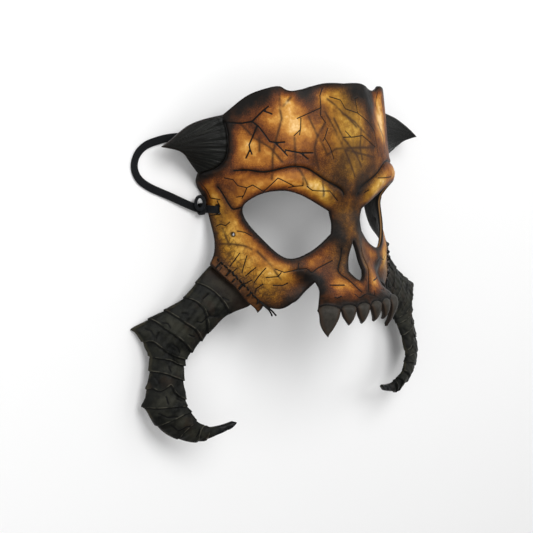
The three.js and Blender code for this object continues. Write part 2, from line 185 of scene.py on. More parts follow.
def sweep(name, path, across, out, section, closed):
    """Carry a section along a path in mm; across and out are its two directions at every point."""
    count, total = len(section), len(section) * len(path)
    points = np.vstack([[p + across[k] * a + out[k] * b for a, b in section] for k, p in enumerate(path)])
    faces = []
    for k in range(len(path) if closed else len(path) - 1):
        for j in range(count):
            a, b = k * count + j, k * count + (j + 1) % count
            faces.append((a, b, (b + count) % total, (a + count) % total))
    if not closed:
        faces.append(tuple(reversed(range(count))))
        faces.append(tuple(range(total - count, total)))
    piece = new_piece(name, points * MM, faces)
    store(piece, "along_mm", np.repeat(run_along(path), count))
    store(piece, "across_mm", np.tile([a for a, b in section], len(path)))
    return piece


def directions(path, level):
    """The directions across a level band and out of its wide face, at every point of its path."""
    ahead = unit(np.gradient(path, axis=0))
    side = unit(np.cross(np.broadcast_to(level, path.shape), ahead))
    return side, np.cross(ahead, side)


route = smooth_line([(x, y + FACE_SHIFT, z) for x, y, z in STRAP_ROUTE], STRAP_STEP)
w, t = STRAP_WIDTH / 6, STRAP_THICK / 2
strap_section = band_section(STRAP_WIDTH, STRAP_THICK, STRAP_CORNER, [(-w, -t), (w, -t)], [(w, t), (-w, t)])
strap = sweep("strap", route, *directions(route, (0, 0, 1)), strap_section, closed=False)
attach(strap, "root")
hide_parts("elastic_strap")

# %% [markdown]
# ## The shape of the face
# Wet leather is pressed over a form and keeps its shape, so the mask is a flat pattern that has been bent.
# Sections at ten levels up the face say how. Each is a few points from the midline outwards, sideways and out
# of the face, joined by straight stretches, and the sheet takes each stretch's slope at its middle. Adding
# the turns up across the sheet gives the face. A sculpted mesh could look the same, but a bent pattern lets
# every crack and stitch be marked where a leather worker would mark it: on the flat.

# %% Write the sections down
STATIONS = np.array([0, 10, 20, 30, 40, 50, 60, 70, 80, 95, 110, 130], dtype=float)
SECTIONS = {
    -80: [(0, 21), (14, 20), (28, 16), (36, 11), (41, 4), (43, -5), (50, -14), (64, -25), (84, -38),
          (104, -51)],
    -62: [(0, 26), (14, 25), (28, 21), (38, 16), (44, 11), (47, 3), (49, -5), (56, -12), (70, -23),
          (90, -36), (108, -48)],
    -50: [(0, 19), (14, 17), (28, 10), (35, 3), (38, -3), (44, -6), (56, -13), (70, -24), (90, -37),
          (110, -50)],
    -30: [(0, 10), (8, 8), (16, 3), (28, -2), (42, -8), (56, -15), (68, -24), (78, -34), (88, -41),
          (110, -53)],
    -13: [(0, 7), (8, 4), (16, -1), (28, -5), (42, -10), (56, -16), (66, -25), (75, -37), (82, -49),
          (87, -60), (91, -70)],
    5: [(0, 1), (14, 0), (28, -4), (42, -9), (56, -14), (65, -21), (72, -31), (78, -43), (83, -56),
        (86, -72)],
    22: [(0, 5), (14, 3), (28, 1), (42, -3), (56, -8), (65, -14), (72, -24), (78, -36), (83, -50),
         (87, -63), (89, -77)],
    50: [(0, 6), (14, 5), (28, 3), (42, -2), (52, -8), (60, -14), (68, -23), (77, -35), (88, -44),
         (100, -48), (130, -50)],
    76: [(0, 3), (14, 2), (28, -1), (40, -9), (50, -13), (57, -16), (66, -25), (75, -36), (85, -44),
         (98, -47), (130, -49)],
    97: [(0, -3), (14, -4), (27, -7), (37, -15), (44, -17), (53, -17), (62, -25), (72, -35), (82, -44),
         (95, -47), (125, -49)],
}


def turns_along(points):
    """The turn of the sheet in degrees at every station of one section."""
    stretches = np.diff(np.array(points, dtype=float), axis=0)
    ends = run_along(points)
    middles = np.concatenate([[0], (ends[1:] + ends[:-1]) / 2])
    slopes = np.concatenate([[0], np.degrees(np.arctan2(-stretches[:, 1], stretches[:, 0]))])
    return np.interp(STATIONS, middles, slopes)


LEVELS = np.array(sorted(SECTIONS), dtype=float)
DEPTHS = np.array([SECTIONS[level][0][1] for level in sorted(SECTIONS)], dtype=float)
BENDS = np.array([turns_along(SECTIONS[level]) for level in sorted(SECTIONS)])
print("the sheet turns", round(np.abs(BENDS).max()), "degrees at most, at", len(LEVELS), "levels")

# %% Bend the flat pattern
BEND_STEPS = 64


def slopes_at(knots, values):
    slopes = np.diff(values, axis=0) / np.diff(knots).reshape(-1, *[1] * (values.ndim - 1))
    return np.concatenate([slopes[:1], (slopes[1:] + slopes[:-1]) / 2, slopes[-1:]])


def blend_between(a, b, slope_a, slope_b, h, t):
    return (a * (1 + 2 * t) * (1 - t) ** 2 + slope_a * h * t * (1 - t) ** 2
            + b * t * t * (3 - 2 * t) + slope_b * h * t * t * (t - 1))


def through(knots, values, at):
    """A smooth curve through values at uneven knots, flat beyond both ends."""
    at = np.clip(at, knots[0], knots[-1])
    i = np.clip(np.searchsorted(knots, at, side="right") - 1, 0, len(knots) - 2)
    slopes = slopes_at(knots, values)
    h = knots[i + 1] - knots[i]
    t = (at - knots[i]) / h
    if values.ndim > 1:
        h, t = h[:, None], t[:, None]
    return blend_between(values[i], values[i + 1], slopes[i], slopes[i + 1], h, t)


def bent_sheet(u, v):
    """Pattern points (mm) to the row frame (mm), before any tooling."""
    bends = through(LEVELS, BENDS, v)
    slopes = slopes_at(STATIONS, bends.T).T
    step = np.abs(u) / BEND_STEPS
    x = np.zeros_like(u)
    z = through(LEVELS, DEPTHS, v)
    rows = np.arange(len(u))
    for k in range(BEND_STEPS):
        s = np.clip((k + 0.5) * step, 0, STATIONS[-1])
        i = np.clip(np.searchsorted(STATIONS, s, side="right") - 1, 0, len(STATIONS) - 2)
        h = STATIONS[i + 1] - STATIONS[i]
        t = (s - STATIONS[i]) / h
        angle = blend_between(bends[rows, i], bends[rows, i + 1], slopes[rows, i], slopes[rows, i + 1], h, t)
        x += np.cos(np.radians(angle)) * step
        z -= np.sin(np.radians(angle)) * step
    return np.stack([np.sign(u) * x, v + FACE_SHIFT, z + FACE_LIFT], axis=1)


def sheet_normal(u, v, reach=0.5):
    across = bent_sheet(u + reach, v) - bent_sheet(u - reach, v)
    along = bent_sheet(u, v + reach) - bent_sheet(u, v - reach)
    return unit(np.cross(across, along))


print("a point of the temple edge:", bent_sheet(np.array([126.0]), np.array([24.0])).round(1))

# %% Add the ridges
def nearest_on(points, line):
    """Distance from pattern points to a line, its closest stretch, and the share of that stretch."""
    line = np.asarray(line, dtype=float)
    nearest = np.full(len(points), np.inf)
    stretch, share = np.zeros(len(points), dtype=int), np.zeros(len(points))
    for k, (a, b) in enumerate(zip(line[:-1], line[1:])):
        d = b - a
        t = np.clip(((points - a) @ d) / max(d @ d, TINY), 0, 1)
        away = np.linalg.norm(points - a - t[:, None] * d, axis=1)
        closer = away < nearest - TINY
        nearest[closer], stretch[closer], share[closer] = away[closer], k, t[closer]
    return nearest, stretch, share


def far_from(points, line):
    return nearest_on(points, line)[0]


RIDGES = [
    (2.4, 6, [(92, 30), (72, 31), (54, 32), (38, 29), (24, 20)]),
    (1.8, 7, [(92, -12), (76, -28), (60, -36), (44, -36)]),
    (1.6, 5, [(37, -62), (34, -76)]),
    (1.2, 3.5, [(20, -62), (19, -70)]),
    (1.2, 3.5, [(7, -62), (7, -70)]),
]


def ridge_height(folded):
    return sum(height * np.exp(-(far_from(folded, line) / spread) ** 2) for height, spread, line in RIDGES)


def on_sheet(u, v, lift=0.0):
    """Pattern points (mm) to the row frame (mm), with the ridges and lifted outwards."""
    u, v = np.asarray(u, dtype=float), np.asarray(v, dtype=float)
    folded = np.stack([np.abs(u), v], axis=1)
    return bent_sheet(u, v) + sheet_normal(u, v) * (lift + ridge_height(folded))[:, None]


print("tip of the small horn:", on_sheet([150], [56]).round(1))

# %% [markdown]
# ## The cut outline
# The pattern is cut from the hide with a knife: the outer edge, two eye openings, the nose, a slot near each
# temple edge for the strap, and one small punched hole on each side. Each stretch is a smooth run through a
# few points, and the runs meet at the corners that the knife left. The teeth follow from their own sizes.

# %% Draw the outline and the holes
BROW_TOP = [(0, 100), (19, 100), (44, 95), (57, 98), (78, 92), (98, 78)]
SMALL_HORN_TOP = [(98, 78), (125, 71), (150, 56)]
SMALL_HORN_UNDER = [(150, 56), (132, 51), (121, 36)]
TEMPLE = [(121, 36), (126, 24), (113, 5), (107, -18), (110, -28)]
FLANGE = [(110, -28), (97, -46), (91, -65)]
FLANGE_FOOT = [(91, -65), (85, -60)]
CHEEK_UNDER = [(85, -60), (73, -62), (55, -54), (37, -43)]
GUM_LEVEL = -61
MUZZLE_SIDE = [(37, -43), (37, -50), (45, GUM_LEVEL)]
TEETH = [(45, 27, 33, 21.5), (27, 13.5, 18.5, 13.5), (13.5, 0, 6.5, 13.5)]
EYE_RIM = [(17, 7), (48, 22), (66, 24), (80, 19), (86, 9), (73, -9), (54, -25), (34, -21), (17, -9)]
EYE_INNER_SIDE = [(17, -9), (15, -1), (17, 7)]
NOSE_SIDE = [(0, -15), (5, -25), (8, -36)]
NOSE_UNDER = [(8, -36), (4, -41), (0, -43)]
SLOT = {"u": 105.5, "v": 9.5, "width": 2.0, "length": 6.4}
PUNCHED = {"u": 92, "v": -8, "radius": 1.05}
EDGE_STEP = 0.95


def tooth_runs(outside, inside, tip, length):
    """Both sides of a tooth, from the gum to the tip and back, each with a slight belly."""
    foot = (tip, GUM_LEVEL - length)
    halfway = GUM_LEVEL - length / 2
    return [[(outside, GUM_LEVEL), (outside + (tip - outside) * 0.25, halfway), foot],
            [foot, (inside + (tip - inside) * 0.4, halfway), (inside, GUM_LEVEL)]]


def runs_to_loop(runs, step):
    return np.vstack([smooth_line(run, step)[:-1] for run in runs])


def both_halves(runs, step):
    half = runs_to_loop(runs, step)
    foot = np.array(runs[-1][-1:], dtype=float)
    return np.vstack([half, foot, half[:0:-1] * [-1, 1]])


def slot_loop():
    u, v, w, l = SLOT["u"], SLOT["v"], SLOT["width"] / 2, SLOT["length"] / 2
    near = bent_sheet(np.array([u - 1, u + 1, u, u]), np.array([v, v, v - 1, v + 1]))
    lean = -((near[1] - near[0]) / 2) @ ((near[3] - near[2]) / 2) * l
    corners = [(u - w - lean, v - l), (u + w - lean, v - l), (u + w + lean, v + l), (u - w + lean, v + l)]
    return runs_to_loop([[corners[k], corners[(k + 1) % 4]] for k in range(4)], 0.7)


def round_loop(u, v, radius, sides=16):
    angle = np.linspace(0, 2 * np.pi, sides, endpoint=False)
    return np.stack([u + radius * np.cos(angle), v + radius * np.sin(angle)], axis=1)


half_outline = [BROW_TOP, SMALL_HORN_TOP, SMALL_HORN_UNDER, TEMPLE]
half_outline += [FLANGE, FLANGE_FOOT, CHEEK_UNDER, MUZZLE_SIDE]
half_outline += [run for tooth in TEETH for run in tooth_runs(*tooth)]
outer_loop = both_halves(half_outline, EDGE_STEP)
nose_loop = both_halves([NOSE_SIDE, NOSE_UNDER], EDGE_STEP)
side_holes = [runs_to_loop([EYE_RIM, EYE_INNER_SIDE], EDGE_STEP), slot_loop(), round_loop(**PUNCHED)]
all_loops = [outer_loop, nose_loop] + side_holes + [hole * [-1, 1] for hole in side_holes]
print("edge to cut:", round(sum(line_length(loop) for loop in all_loops)), "mm")

# %% [markdown]
# ## Creases, cracks and soft strokes
# The carver's lines are of three kinds. Creases are deep grooves: over the brows, round the small horns,
# beside the nose. Cracks are thin knife cuts filled with black dye. Strokes are vague smoky lines that were
# only painted. Most of them show in the photograph, so here they are lines of pixels, read one by one. What
# the photograph hides is drawn on the pattern instead, in millimetres.

# %% Read the creases off the photograph
BROW_CREASE = [(234, 170.6), (247, 170), (265, 171.7), (282, 168.2), (294.5, 166.4), (308, 168.8),
               (324.8, 179.7), (340.6, 188.8), (344, 195)]
HORN_GROOVE = [(223, 117.3), (226.7, 130.6), (227.9, 145), (225.5, 158.5), (217, 168), (205, 173),
               (199.4, 174)]
TEMPLE_CREASE = [(217.6, 187), (224, 197), (231, 208), (235, 209.4), (242.4, 207)]
NOSE_CREASE = [(341.7, 248), (340.7, 258), (338, 269), (340.7, 274), (347.7, 279), (352, 282.5), (361.8, 292)]
LIP_CREASE = [(330, 285), (344.5, 285)]
LIP_MARKS = [[(354.8, 294), (359.6, 298), (365.6, 294)], [(334.7, 297), (337.4, 298), (341.7, 296)]]
CREASE_LINES = [BROW_CREASE, HORN_GROOVE, TEMPLE_CREASE, NOSE_CREASE, LIP_CREASE, *LIP_MARKS]
print(len(CREASE_LINES), "creases and marks are seen")

# %% Read the cracks and the knife scratches
BOLD_CRACKS = [
    [(225.5, 122.7), (241, 123.3), (252, 121.5)],
    [(252, 121.5), (263, 110.6), (268.5, 106.4)],
    [(263, 110.6), (272, 114)],
    [(252, 121.5), (259, 127), (265.5, 135.5), (269.7, 141.5), (276, 142.7), (284.8, 142)],
    [(275, 142.7), (281.8, 149.4), (287.3, 155.5)],
    [(285.5, 150), (300.6, 153), (312.7, 152.8)],
    [(300.6, 153), (308, 159)],
    [(257, 126.4), (249, 145), (250, 149.4), (246, 158)],
    [(250, 149.4), (251.8, 154)],
]
FINE_CRACKS = [
    [(322.4, 88), (320, 95.5), (321, 107.6), (320.6, 115.5), (326, 123)],
    [(321, 107.6), (308, 113.6), (297, 118.5)],
    [(301, 118.5), (300.6, 128), (299.6, 134.8)],
    [(300, 130), (294, 135.8)],
    [(328, 128), (324.8, 138), (323, 141)],
    [(325.5, 139), (330.3, 147.6), (334, 159)],
    [(329.7, 96.7), (340.6, 100), (345.5, 108.8), (357.6, 113), (367.3, 121), (374, 130.6), (376.4, 142.7),
     (377.6, 152.4)],
    [(357.6, 113), (355, 98.5), (358, 97.3)],
    [(343.6, 137.3), (354, 137), (362.4, 135.5), (375, 147)],
    [(345.5, 131), (351, 137)],
    [(377.6, 92.4), (375.8, 106.4)],
    [(224, 178), (233, 179.7), (238, 185.8), (246.7, 187.8), (252.7, 185), (263.6, 191.6), (278, 178),
     (294.5, 186.4), (303, 185.8)],
    [(294.5, 186.4), (288.5, 187.6)],
    [(246.7, 187.8), (241.8, 198.5)],
    [(243.5, 196), (236.4, 197.3)],
    [(307, 186.4), (312.7, 190.6), (329.7, 191), (337.6, 200.7)],
    [(378, 178), (391.5, 176.7)],
    [(364, 193), (369, 190)],
    [(200.6, 183), (207, 191), (210, 198), (220, 199.7)],
    [(217, 201), (220, 207)],
    [(209.7, 215.5), (220.6, 214)],
    [(215.8, 226.4), (220.6, 224), (225.5, 225.8), (229.7, 222)],
    [(237, 231), (244.8, 232.4), (251.5, 236)],
    [(275, 269), (284.5, 272.5), (298, 269.6), (306.5, 268.6), (312, 273), (317, 268.6), (332.5, 260.5)],
    [(299, 263), (298, 269.6)],
    [(266, 277.5), (278, 276.7), (281, 273)],
    [(273, 285.4), (283, 285.4), (288, 283)],
]
KNIFE_SCRATCHES = [
    [(239.8, 253), (229.8, 266.7)], [(247, 255.5), (242, 273)], [(256, 267.5), (245.6, 276)],
    [(266, 268), (254, 283)], [(263, 284), (256, 289), (255, 293.7)], [(252, 280), (243, 285), (239, 290)],
    [(222, 267), (219, 271)], [(229.8, 272), (225.7, 276)], [(237, 268.4), (232.7, 272)],
]
print(len(BOLD_CRACKS), "bold cracks and", len(FINE_CRACKS + KNIFE_SCRATCHES), "fine ones are seen")

# %% Read the painted strokes
STROKES = [
    [(279.4, 90), (280, 110), (281.8, 118.5), (276.4, 137.9), (272.7, 153.6), (271.8, 179)],
    [(290.9, 97.3), (282.4, 106.4)],
    [(308.5, 116.7), (317.6, 136), (314.5, 147.6), (315.2, 154.8), (318.8, 169.4)],
    [(324.8, 123.3), (317.6, 136)],
    [(324.8, 111.8), (340.6, 141.5), (349, 159.7), (355, 176.7)],
    [(327.3, 99), (337, 106.4), (343, 113.6), (355, 122), (361, 129.4), (371, 137.9)],
    [(334, 118.5), (343, 137.9), (356.4, 154.8), (361.2, 165.8)],
    [(320, 139), (327.3, 154.8), (335.8, 148.8), (356.4, 147.6), (374.5, 147.6)],
    [(345.5, 150), (373.3, 157)],
    [(294.5, 137.9), (295.2, 164.5), (301.8, 173), (303, 185)],
    [(259.4, 137.9), (259.4, 151)],
    [(240, 123.3), (254.5, 137.9), (270.3, 147.6), (282.4, 162)],
    [(303, 175.5), (307.9, 186.4)],
    [(322.4, 181.5), (323.6, 196)],
    [(345.5, 114.8), (356.4, 127)],
    [(361.2, 128), (360, 147.6), (362.4, 159.7)],
    [(219, 244), (231.5, 244), (244, 245.6), (251.4, 249)],
]
print(len(STROKES), "strokes are seen")

# %% [markdown]
# The next function finds the spot of the pattern behind each pixel. It starts from the closest of many spots
# all over the mask, and moves it a few times by what is still missing.

# %% Find the spot behind a pixel
GRID_STEP = 2
SAME_PIXEL = 1.2
ROUNDS = 8
LONGEST_MOVE = 3
NUDGE = 0.2


def find_grid():
    """Spots all over the pattern, the pixels they are seen at, and how far they are from the camera."""
    across, along = np.meshgrid(np.arange(-152.0, 153, GRID_STEP), np.arange(-84.0, 102, GRID_STEP))
    spots = np.stack([across.ravel(), along.ravel()], axis=1)
    places = on_sheet(spots[:, 0], spots[:, 1])
    return spots, to_photo(places), np.linalg.norm(places - CAMERA_SPOT, axis=1)


grid_spots, grid_pixels, grid_away = find_grid()


def from_photo(lines):
    """For each line of pixels, the line of pattern points that are seen there."""
    pixels = np.vstack([np.array(line, dtype=float) for line in lines])
    spots = []
    for pixel in pixels:
        miss = np.linalg.norm(grid_pixels - pixel, axis=1)
        close = np.flatnonzero(miss < miss.min() + SAME_PIXEL)
        spots.append(grid_spots[close[np.argmin(grid_away[close])]])
    spots = np.array(spots)
    for _ in range(ROUNDS):
        here, sideways, above = [to_photo(on_sheet(spots[:, 0] + du, spots[:, 1] + dv))
                                 for du, dv in ((0, 0), (NUDGE, 0), (0, NUDGE))]
        change = np.stack([sideways - here, above - here], axis=2) / NUDGE
        step = np.linalg.solve(change, (pixels - here)[:, :, None])[:, :, 0]
        spots = spots + np.clip(step, -LONGEST_MOVE, LONGEST_MOVE)
    return np.split(spots, np.cumsum([len(line) for line in lines])[:-1])


print(len(grid_spots), "spots to start from, pixels", *grid_pixels.min(axis=0).round(), "and up")

# %% Carry the lines onto the pattern
def fold(points):
    """The same points on the left half of the pattern."""
    points = np.asarray(points, dtype=float)
    return np.stack([np.abs(points[:, 0]), points[:, 1]], axis=1)


def tooth_arch(outside, inside, rise=3.2):
    """The root line of one tooth, arching over the gum."""
    share = np.linspace(0, 1, 9)
    return np.stack([inside + (outside - inside) * share,
                     GUM_LEVEL + rise * (1 - (2 * share - 1) ** 2) ** 0.6], axis=1)


brow_line, groove_line, temple_line, nose_line, lip_line, *lip_marks = map(fold, from_photo(CREASE_LINES))
arches = [tooth_arch(outside, inside) for outside, inside, tip, length in TEETH]
creases = [(1.3, 1.0, groove_line), (1.2, 0.95, brow_line), (0.9, 0.9, temple_line)]
creases += [(0.6, 0.75, nose_line), (0.4, 0.7, lip_line)]
creases += [(0.7, 0.7, arch) for arch in arches]
bold_cracks = from_photo(BOLD_CRACKS)
fine_cracks = from_photo(FINE_CRACKS + KNIFE_SCRATCHES)
fine_cracks += [
    [(60, 74), (66, 68), (72, 67), (78, 60)], [(66, 68), (64, 60)], [(62, 52), (70, 49), (77, 52)],
    [(103, 33), (95, 30), (88, 31), (80, 26), (70, 30)], [(108, 3), (101, 1), (97, 4)],
    [(82, -23), (90, -32)], [(76, -31), (86, -39)], [(69, -32), (80, -44)],
    [(64, -33), (57, -36), (47, -33), (40, -35)],
]
strokes = from_photo(STROKES)
strokes += [
    [(-100, -4), (-96, -14)], [(-75, -20), (-66, -30), (-62, -40)], [(56, 90), (60, 74), (57, 60), (62, 48)],
    [(40, 70), (46, 60), (44, 45)], [(86, 60), (74, 52), (64, 44)], [(96, -4), (90, -14), (80, -20)],
]
print(len(creases), "creases,", len(bold_cracks) + len(fine_cracks), "cracks,", len(strokes), "strokes")

# %% [markdown]
# ## From pattern to mesh
# The pattern is filled with a honeycomb of points less than a millimetre apart, and rows of points follow
# every edge, crease and crack, so that a knife cut is a real valley in the mesh and not a picture of one.
# A constrained Delaunay triangulation joins the points and keeps each marked line as an edge. The same
# helpers make the face and, later, the two jaw horns.

# %% Find what lies on the leather
ROW_HEIGHT = 0.866


def inside(points, loop):
    """Which pattern points lie inside a closed loop."""
    x, y = points[:, 0], points[:, 1]
    within = np.zeros(len(points), dtype=bool)
    for (ax, ay), (bx, by) in zip(loop, np.roll(loop, -1, axis=0)):
        crosses = (ay > y) != (by > y)
        if ay != by:
            within ^= crosses & (x < (bx - ax) * (y - ay) / (by - ay) + ax)
    return within


def on_leather(points, loops):
    kept = inside(points, loops[0])
    for hole in loops[1:]:
        kept &= ~inside(points, hole)
    return kept


def honeycomb(loop, step):
    low, high = loop.min(axis=0), loop.max(axis=0)
    cells = []
    for k, v in enumerate(np.arange(low[1], high[1], step * ROW_HEIGHT)):
        u = np.arange(low[0], high[0], step) + (k % 2) * step / 2
        cells.append(np.stack([u, np.full_like(u, v)], axis=1))
    return np.vstack(cells)


def search_tree(points):
    tree = kdtree.KDTree(len(points))
    for k, (u, v) in enumerate(points):
        tree.insert((u, v, 0), k)
    tree.balance()
    return tree


def clear_of(points, kept, gap):
    """The points that are further than gap from all that are there already."""
    tree = search_tree(kept)
    return points[[tree.find((u, v, 0))[2] > gap for u, v in points]]


def beside(line, away):
    ahead = unit(np.gradient(line, axis=0))
    return line + np.stack([-ahead[:, 1], ahead[:, 0]], axis=1) * away


def to_many(points, lines):
    return np.minimum.reduce([far_from(points, line) for line in lines])


def closed_lines(loops):
    return [np.vstack([loop, loop[:1]]) for loop in loops]


print("is there leather in the middle of an eye?", bool(on_leather(np.array([[50.0, 0.0]]), all_loops)[0]))

# %% Fill a pattern with points and triangles
EDGE_GAP = 0.45
ROW_GAP = 0.3
INSET_SHARE = 0.8
CELL_SHARE = 0.62
WELD = 1e-4


def inner_rows(loops, lines, away):
    """Rows beside both sides of lines, as far as they lie on the leather."""
    rows = np.vstack([row for line in lines for row in (beside(line, away), beside(line, -away))])
    return rows[on_leather(rows, loops)]


def fill_pattern(loops, step, lines=(), insets=()):
    """Points, triangles and each loop's own numbers. A line comes with the offsets of its side rows."""
    points, links, start = np.vstack(loops), [], 0
    for loop in loops:
        links += [(start + k, start + (k + 1) % len(loop)) for k in range(len(loop))]
        start += len(loop)
    for line, offsets in lines:
        free = to_many(line, closed_lines(loops)) > EDGE_GAP
        free &= on_leather(line, loops)
        number = (len(points) + np.cumsum(free) - 1).tolist()
        points = np.vstack([points, line[free]])
        links += [(number[k], number[k + 1]) for k in range(len(line) - 1) if free[k] and free[k + 1]]
    for offset in sorted({o for line, offsets in lines for o in offsets}):
        rows = inner_rows(loops, [line for line, offsets in lines if offset in offsets], offset)
        points = np.vstack([points, clear_of(rows, points, ROW_GAP)])
    for inset in insets:
        rows = np.vstack([beside(np.vstack([loop[-1:], loop, loop[:1]]), side * inset)[1:-1]
                          for loop in loops for side in (1, -1)])
        rows = rows[on_leather(rows, loops)]
        points = np.vstack([points, clear_of(rows, points, INSET_SHARE * inset)])
    cells = honeycomb(loops[0], step)
    cells = cells[on_leather(cells, loops)]
    points = np.vstack([points, clear_of(cells, points, CELL_SHARE * step)])
    spots, _, triangles, origin, _, _ = delaunay_2d_cdt([Vector(p) for p in points], links, [], 0, WELD)
    spots = np.array([tuple(s) for s in spots])
    triangles = np.array(triangles)
    triangles = triangles[on_leather(spots[triangles].mean(axis=1), loops)]
    place = {i: k for k, sources in enumerate(origin) for i in sources}
    numbers, start = [], 0
    for loop in loops:
        numbers.append([place[start + k] for k in range(len(loop))])
        start += len(loop)
    return spots, triangles, numbers


test_square = np.array([(0.0, 0.0), (9, 0), (9, 9), (0, 9)])
print("a square of 9 mm takes", len(fill_pattern([test_square], 3)[1]), "triangles")

# %% Close two sheets into a shell
CUBIC_CM = 1e-6


def close_shell(name, loops, front, back):
    """Join a front and a back sheet, each given as points, faces and loops, by a wall in two rows."""
    front_points, front_faces, front_loops = front
    back_points, back_faces, back_loops = back
    walls, wall_faces = [], []
    for loop, upper, lower in zip(loops, front_loops, back_loops):
        count = len(loop)
        first = len(front_points) + len(back_points) + len(walls)
        walls.extend((front_points[upper] + back_points[lower]) / 2)
        rows = [np.array(upper), first + np.arange(count), np.array(lower) + len(front_points)]
        area = np.sum(loop[:, 0] * np.roll(loop[:, 1], -1) - np.roll(loop[:, 0], -1) * loop[:, 1])
        turned = (area > 0) == (loop is loops[0])
        for a, b in zip(rows[:-1], rows[1:]):
            a2, b2 = np.roll(a, -1), np.roll(b, -1)
            for quad in zip(a, b, b2, a2) if turned else zip(a, a2, b2, b):
                wall_faces.extend([(quad[0], quad[1], quad[2]), (quad[0], quad[2], quad[3])])
    points = np.vstack([front_points, back_points, walls])
    faces = np.vstack([front_faces, back_faces[:, ::-1] + len(front_points), wall_faces])
    piece = new_piece(name, points * MM, faces)
    test = bmesh.new()
    test.from_mesh(piece.data)
    holes = sum(1 for edge in test.edges if len(edge.link_faces) != 2)
    volume = test.calc_volume(signed=True) / CUBIC_CM
    print(name, len(faces), "triangles,", holes, "open edges,", round(volume, 1), "cm3")
    test.free()
    return piece


def store_front(piece, name, values, elsewhere):
    rest = len(piece.data.vertices) - len(values)
    store(piece, name, np.concatenate([values, np.full(rest, float(elsewhere))]))


print("shell helpers ready")

# %% Triangulate the face
FINE_STEP = 0.9
COARSE_STEP = 3.0
LINE_STEP = 0.85
CREASE_ROWS = (0.45, 0.95, 1.6)
CRACK_ROWS = (0.45,)
FRONT_INSETS = (0.5, 1.05)
BACK_INSETS = (0.9,)


def mirror_line(line):
    return [(-u, v) for u, v in line]


def straight_line(points, step):
    """Points every step along straight stretches, which keeps the corners."""
    points = np.asarray(points, dtype=float)
    parts = [np.linspace(a, b, max(1, round(np.linalg.norm(b - a) / step)), endpoint=False)
             for a, b in zip(points[:-1], points[1:])]
    return np.vstack(parts + [points[-1:]])


carved = []
for depth, width, line in creases:
    for side in (line, mirror_line(line)):
        carved.append((smooth_line(side, LINE_STEP), CREASE_ROWS))
for line in bold_cracks + fine_cracks:
    carved.append((straight_line(line, LINE_STEP), CRACK_ROWS))
for line in lip_marks:
    carved.extend([(straight_line(side, LINE_STEP), CRACK_ROWS) for side in (line, mirror_line(line))])
front_spots, front_triangles, front_loops = fill_pattern(all_loops, FINE_STEP, carved, FRONT_INSETS)
back_spots, back_triangles, back_loops = fill_pattern(all_loops, COARSE_STEP, (), BACK_INSETS)
print("front", len(front_triangles), "triangles, back", len(back_triangles))

# %% [markdown]
# ## Tooling the front
# Height is measured outwards from the bent sheet. Creases and cracks go down, their lips stand up a little,
# the cut edge is rounded over, the teeth are pillowed, and fine folds run to the tips of the small horns.

# %% Work out the relief
HORN_TIP = SMALL_HORN_TOP[-1]
BOLD_CUT = {"depth": 0.5, "half_width": 0.75}
FINE_CUT = {"depth": 0.35, "half_width": 0.65}
RAISED_LIP = {"share": 0.12, "widths_away": 2.6, "widths_soft": 1.5}
SMALL_HORN_FOLDS = [(0.1, 43, 0.8), (0.08, 97, 2.1)]
GROOVE_FOLDS = {"height": 0.25, "count": 61, "reach": 7}
TAPER_SHARE = 0.06
EDGE_RADIUS = 0.85
TOOTH_RISE = 0.8
FAR = 9.0
groove_upwards = groove_line[np.argsort(groove_line[:, 1])]


def horn_side(folded):
    """0 on the face and 1 on the small horn, with a soft step at its groove."""
    past = folded[:, 0] - np.interp(folded[:, 1], groove_upwards[:, 1], groove_upwards[:, 0])
    return np.clip(past / 1.2 + 0.5, 0, 1) * (folded[:, 1] > SMALL_HORN_UNDER[-1][1] - 0.5)


def tooth_side(folded):
    """1 on the teeth and 0 above their roots, with a soft step between."""
    roots = [np.interp(folded[:, 0], *line.T, GUM_LEVEL, GUM_LEVEL) for line in arches]
    below = np.max(roots, axis=0) - folded[:, 1]
    return np.clip(below / 0.8 + 0.5, 0, 1) * (folded[:, 0] < TEETH[0][0] + 2)


def rolled_edge(away, radius):
    """How far a rounded edge drops, at a distance from the cut."""
    reach = np.clip(radius - away, 0, radius)
    return np.sqrt(radius ** 2 - reach ** 2) - radius


def along_line(points, line):
    """Distance to a line, and how far along it, from 0 to 1, each point's nearest place is."""
    nearest, stretch, share = nearest_on(points, line)
    run = run_along(line)
    return nearest, (run[stretch] + share * np.diff(run)[stretch]) / run[-1]


folded = fold(front_spots)
edge_mm = to_many(front_spots, closed_lines(all_loops))
crease_mm = np.full(len(folded), np.inf)
height = np.zeros(len(folded))
for depth, width, line in creases:
    away, share = along_line(folded, smooth_line(line, 2.0))
    taper = np.clip(np.minimum(share, 1 - share) / TAPER_SHARE, 0.35, 1)
    crease_mm = np.minimum(crease_mm, away / width)
    height -= depth * taper * np.exp(-(away / width) ** 2)
    beyond = (away / width - RAISED_LIP["widths_away"]) / RAISED_LIP["widths_soft"]
    height += RAISED_LIP["share"] * depth * taper * np.exp(-beyond ** 2)
bold_mm = to_many(front_spots, bold_cracks)
fine_mm = to_many(front_spots, fine_cracks)
both_mm = to_many(folded, lip_marks)
fine_mm = np.minimum(fine_mm, both_mm)
height -= BOLD_CUT["depth"] * np.clip(1 - bold_mm / BOLD_CUT["half_width"], 0, 1)
height -= FINE_CUT["depth"] * np.clip(1 - fine_mm / FINE_CUT["half_width"], 0, 1)
horn = horn_side(folded)
tooth = tooth_side(folded)
tip_away = np.linalg.norm(folded - HORN_TIP, axis=1)
tip_angle = np.arctan2(folded[:, 1] - HORN_TIP[1], HORN_TIP[0] - folded[:, 0])
at_groove = np.exp(-(far_from(folded, groove_line) / GROOVE_FOLDS["reach"]) ** 2)
folds = sum(size * np.sin(count * tip_angle + start) for size, count, start in SMALL_HORN_FOLDS)
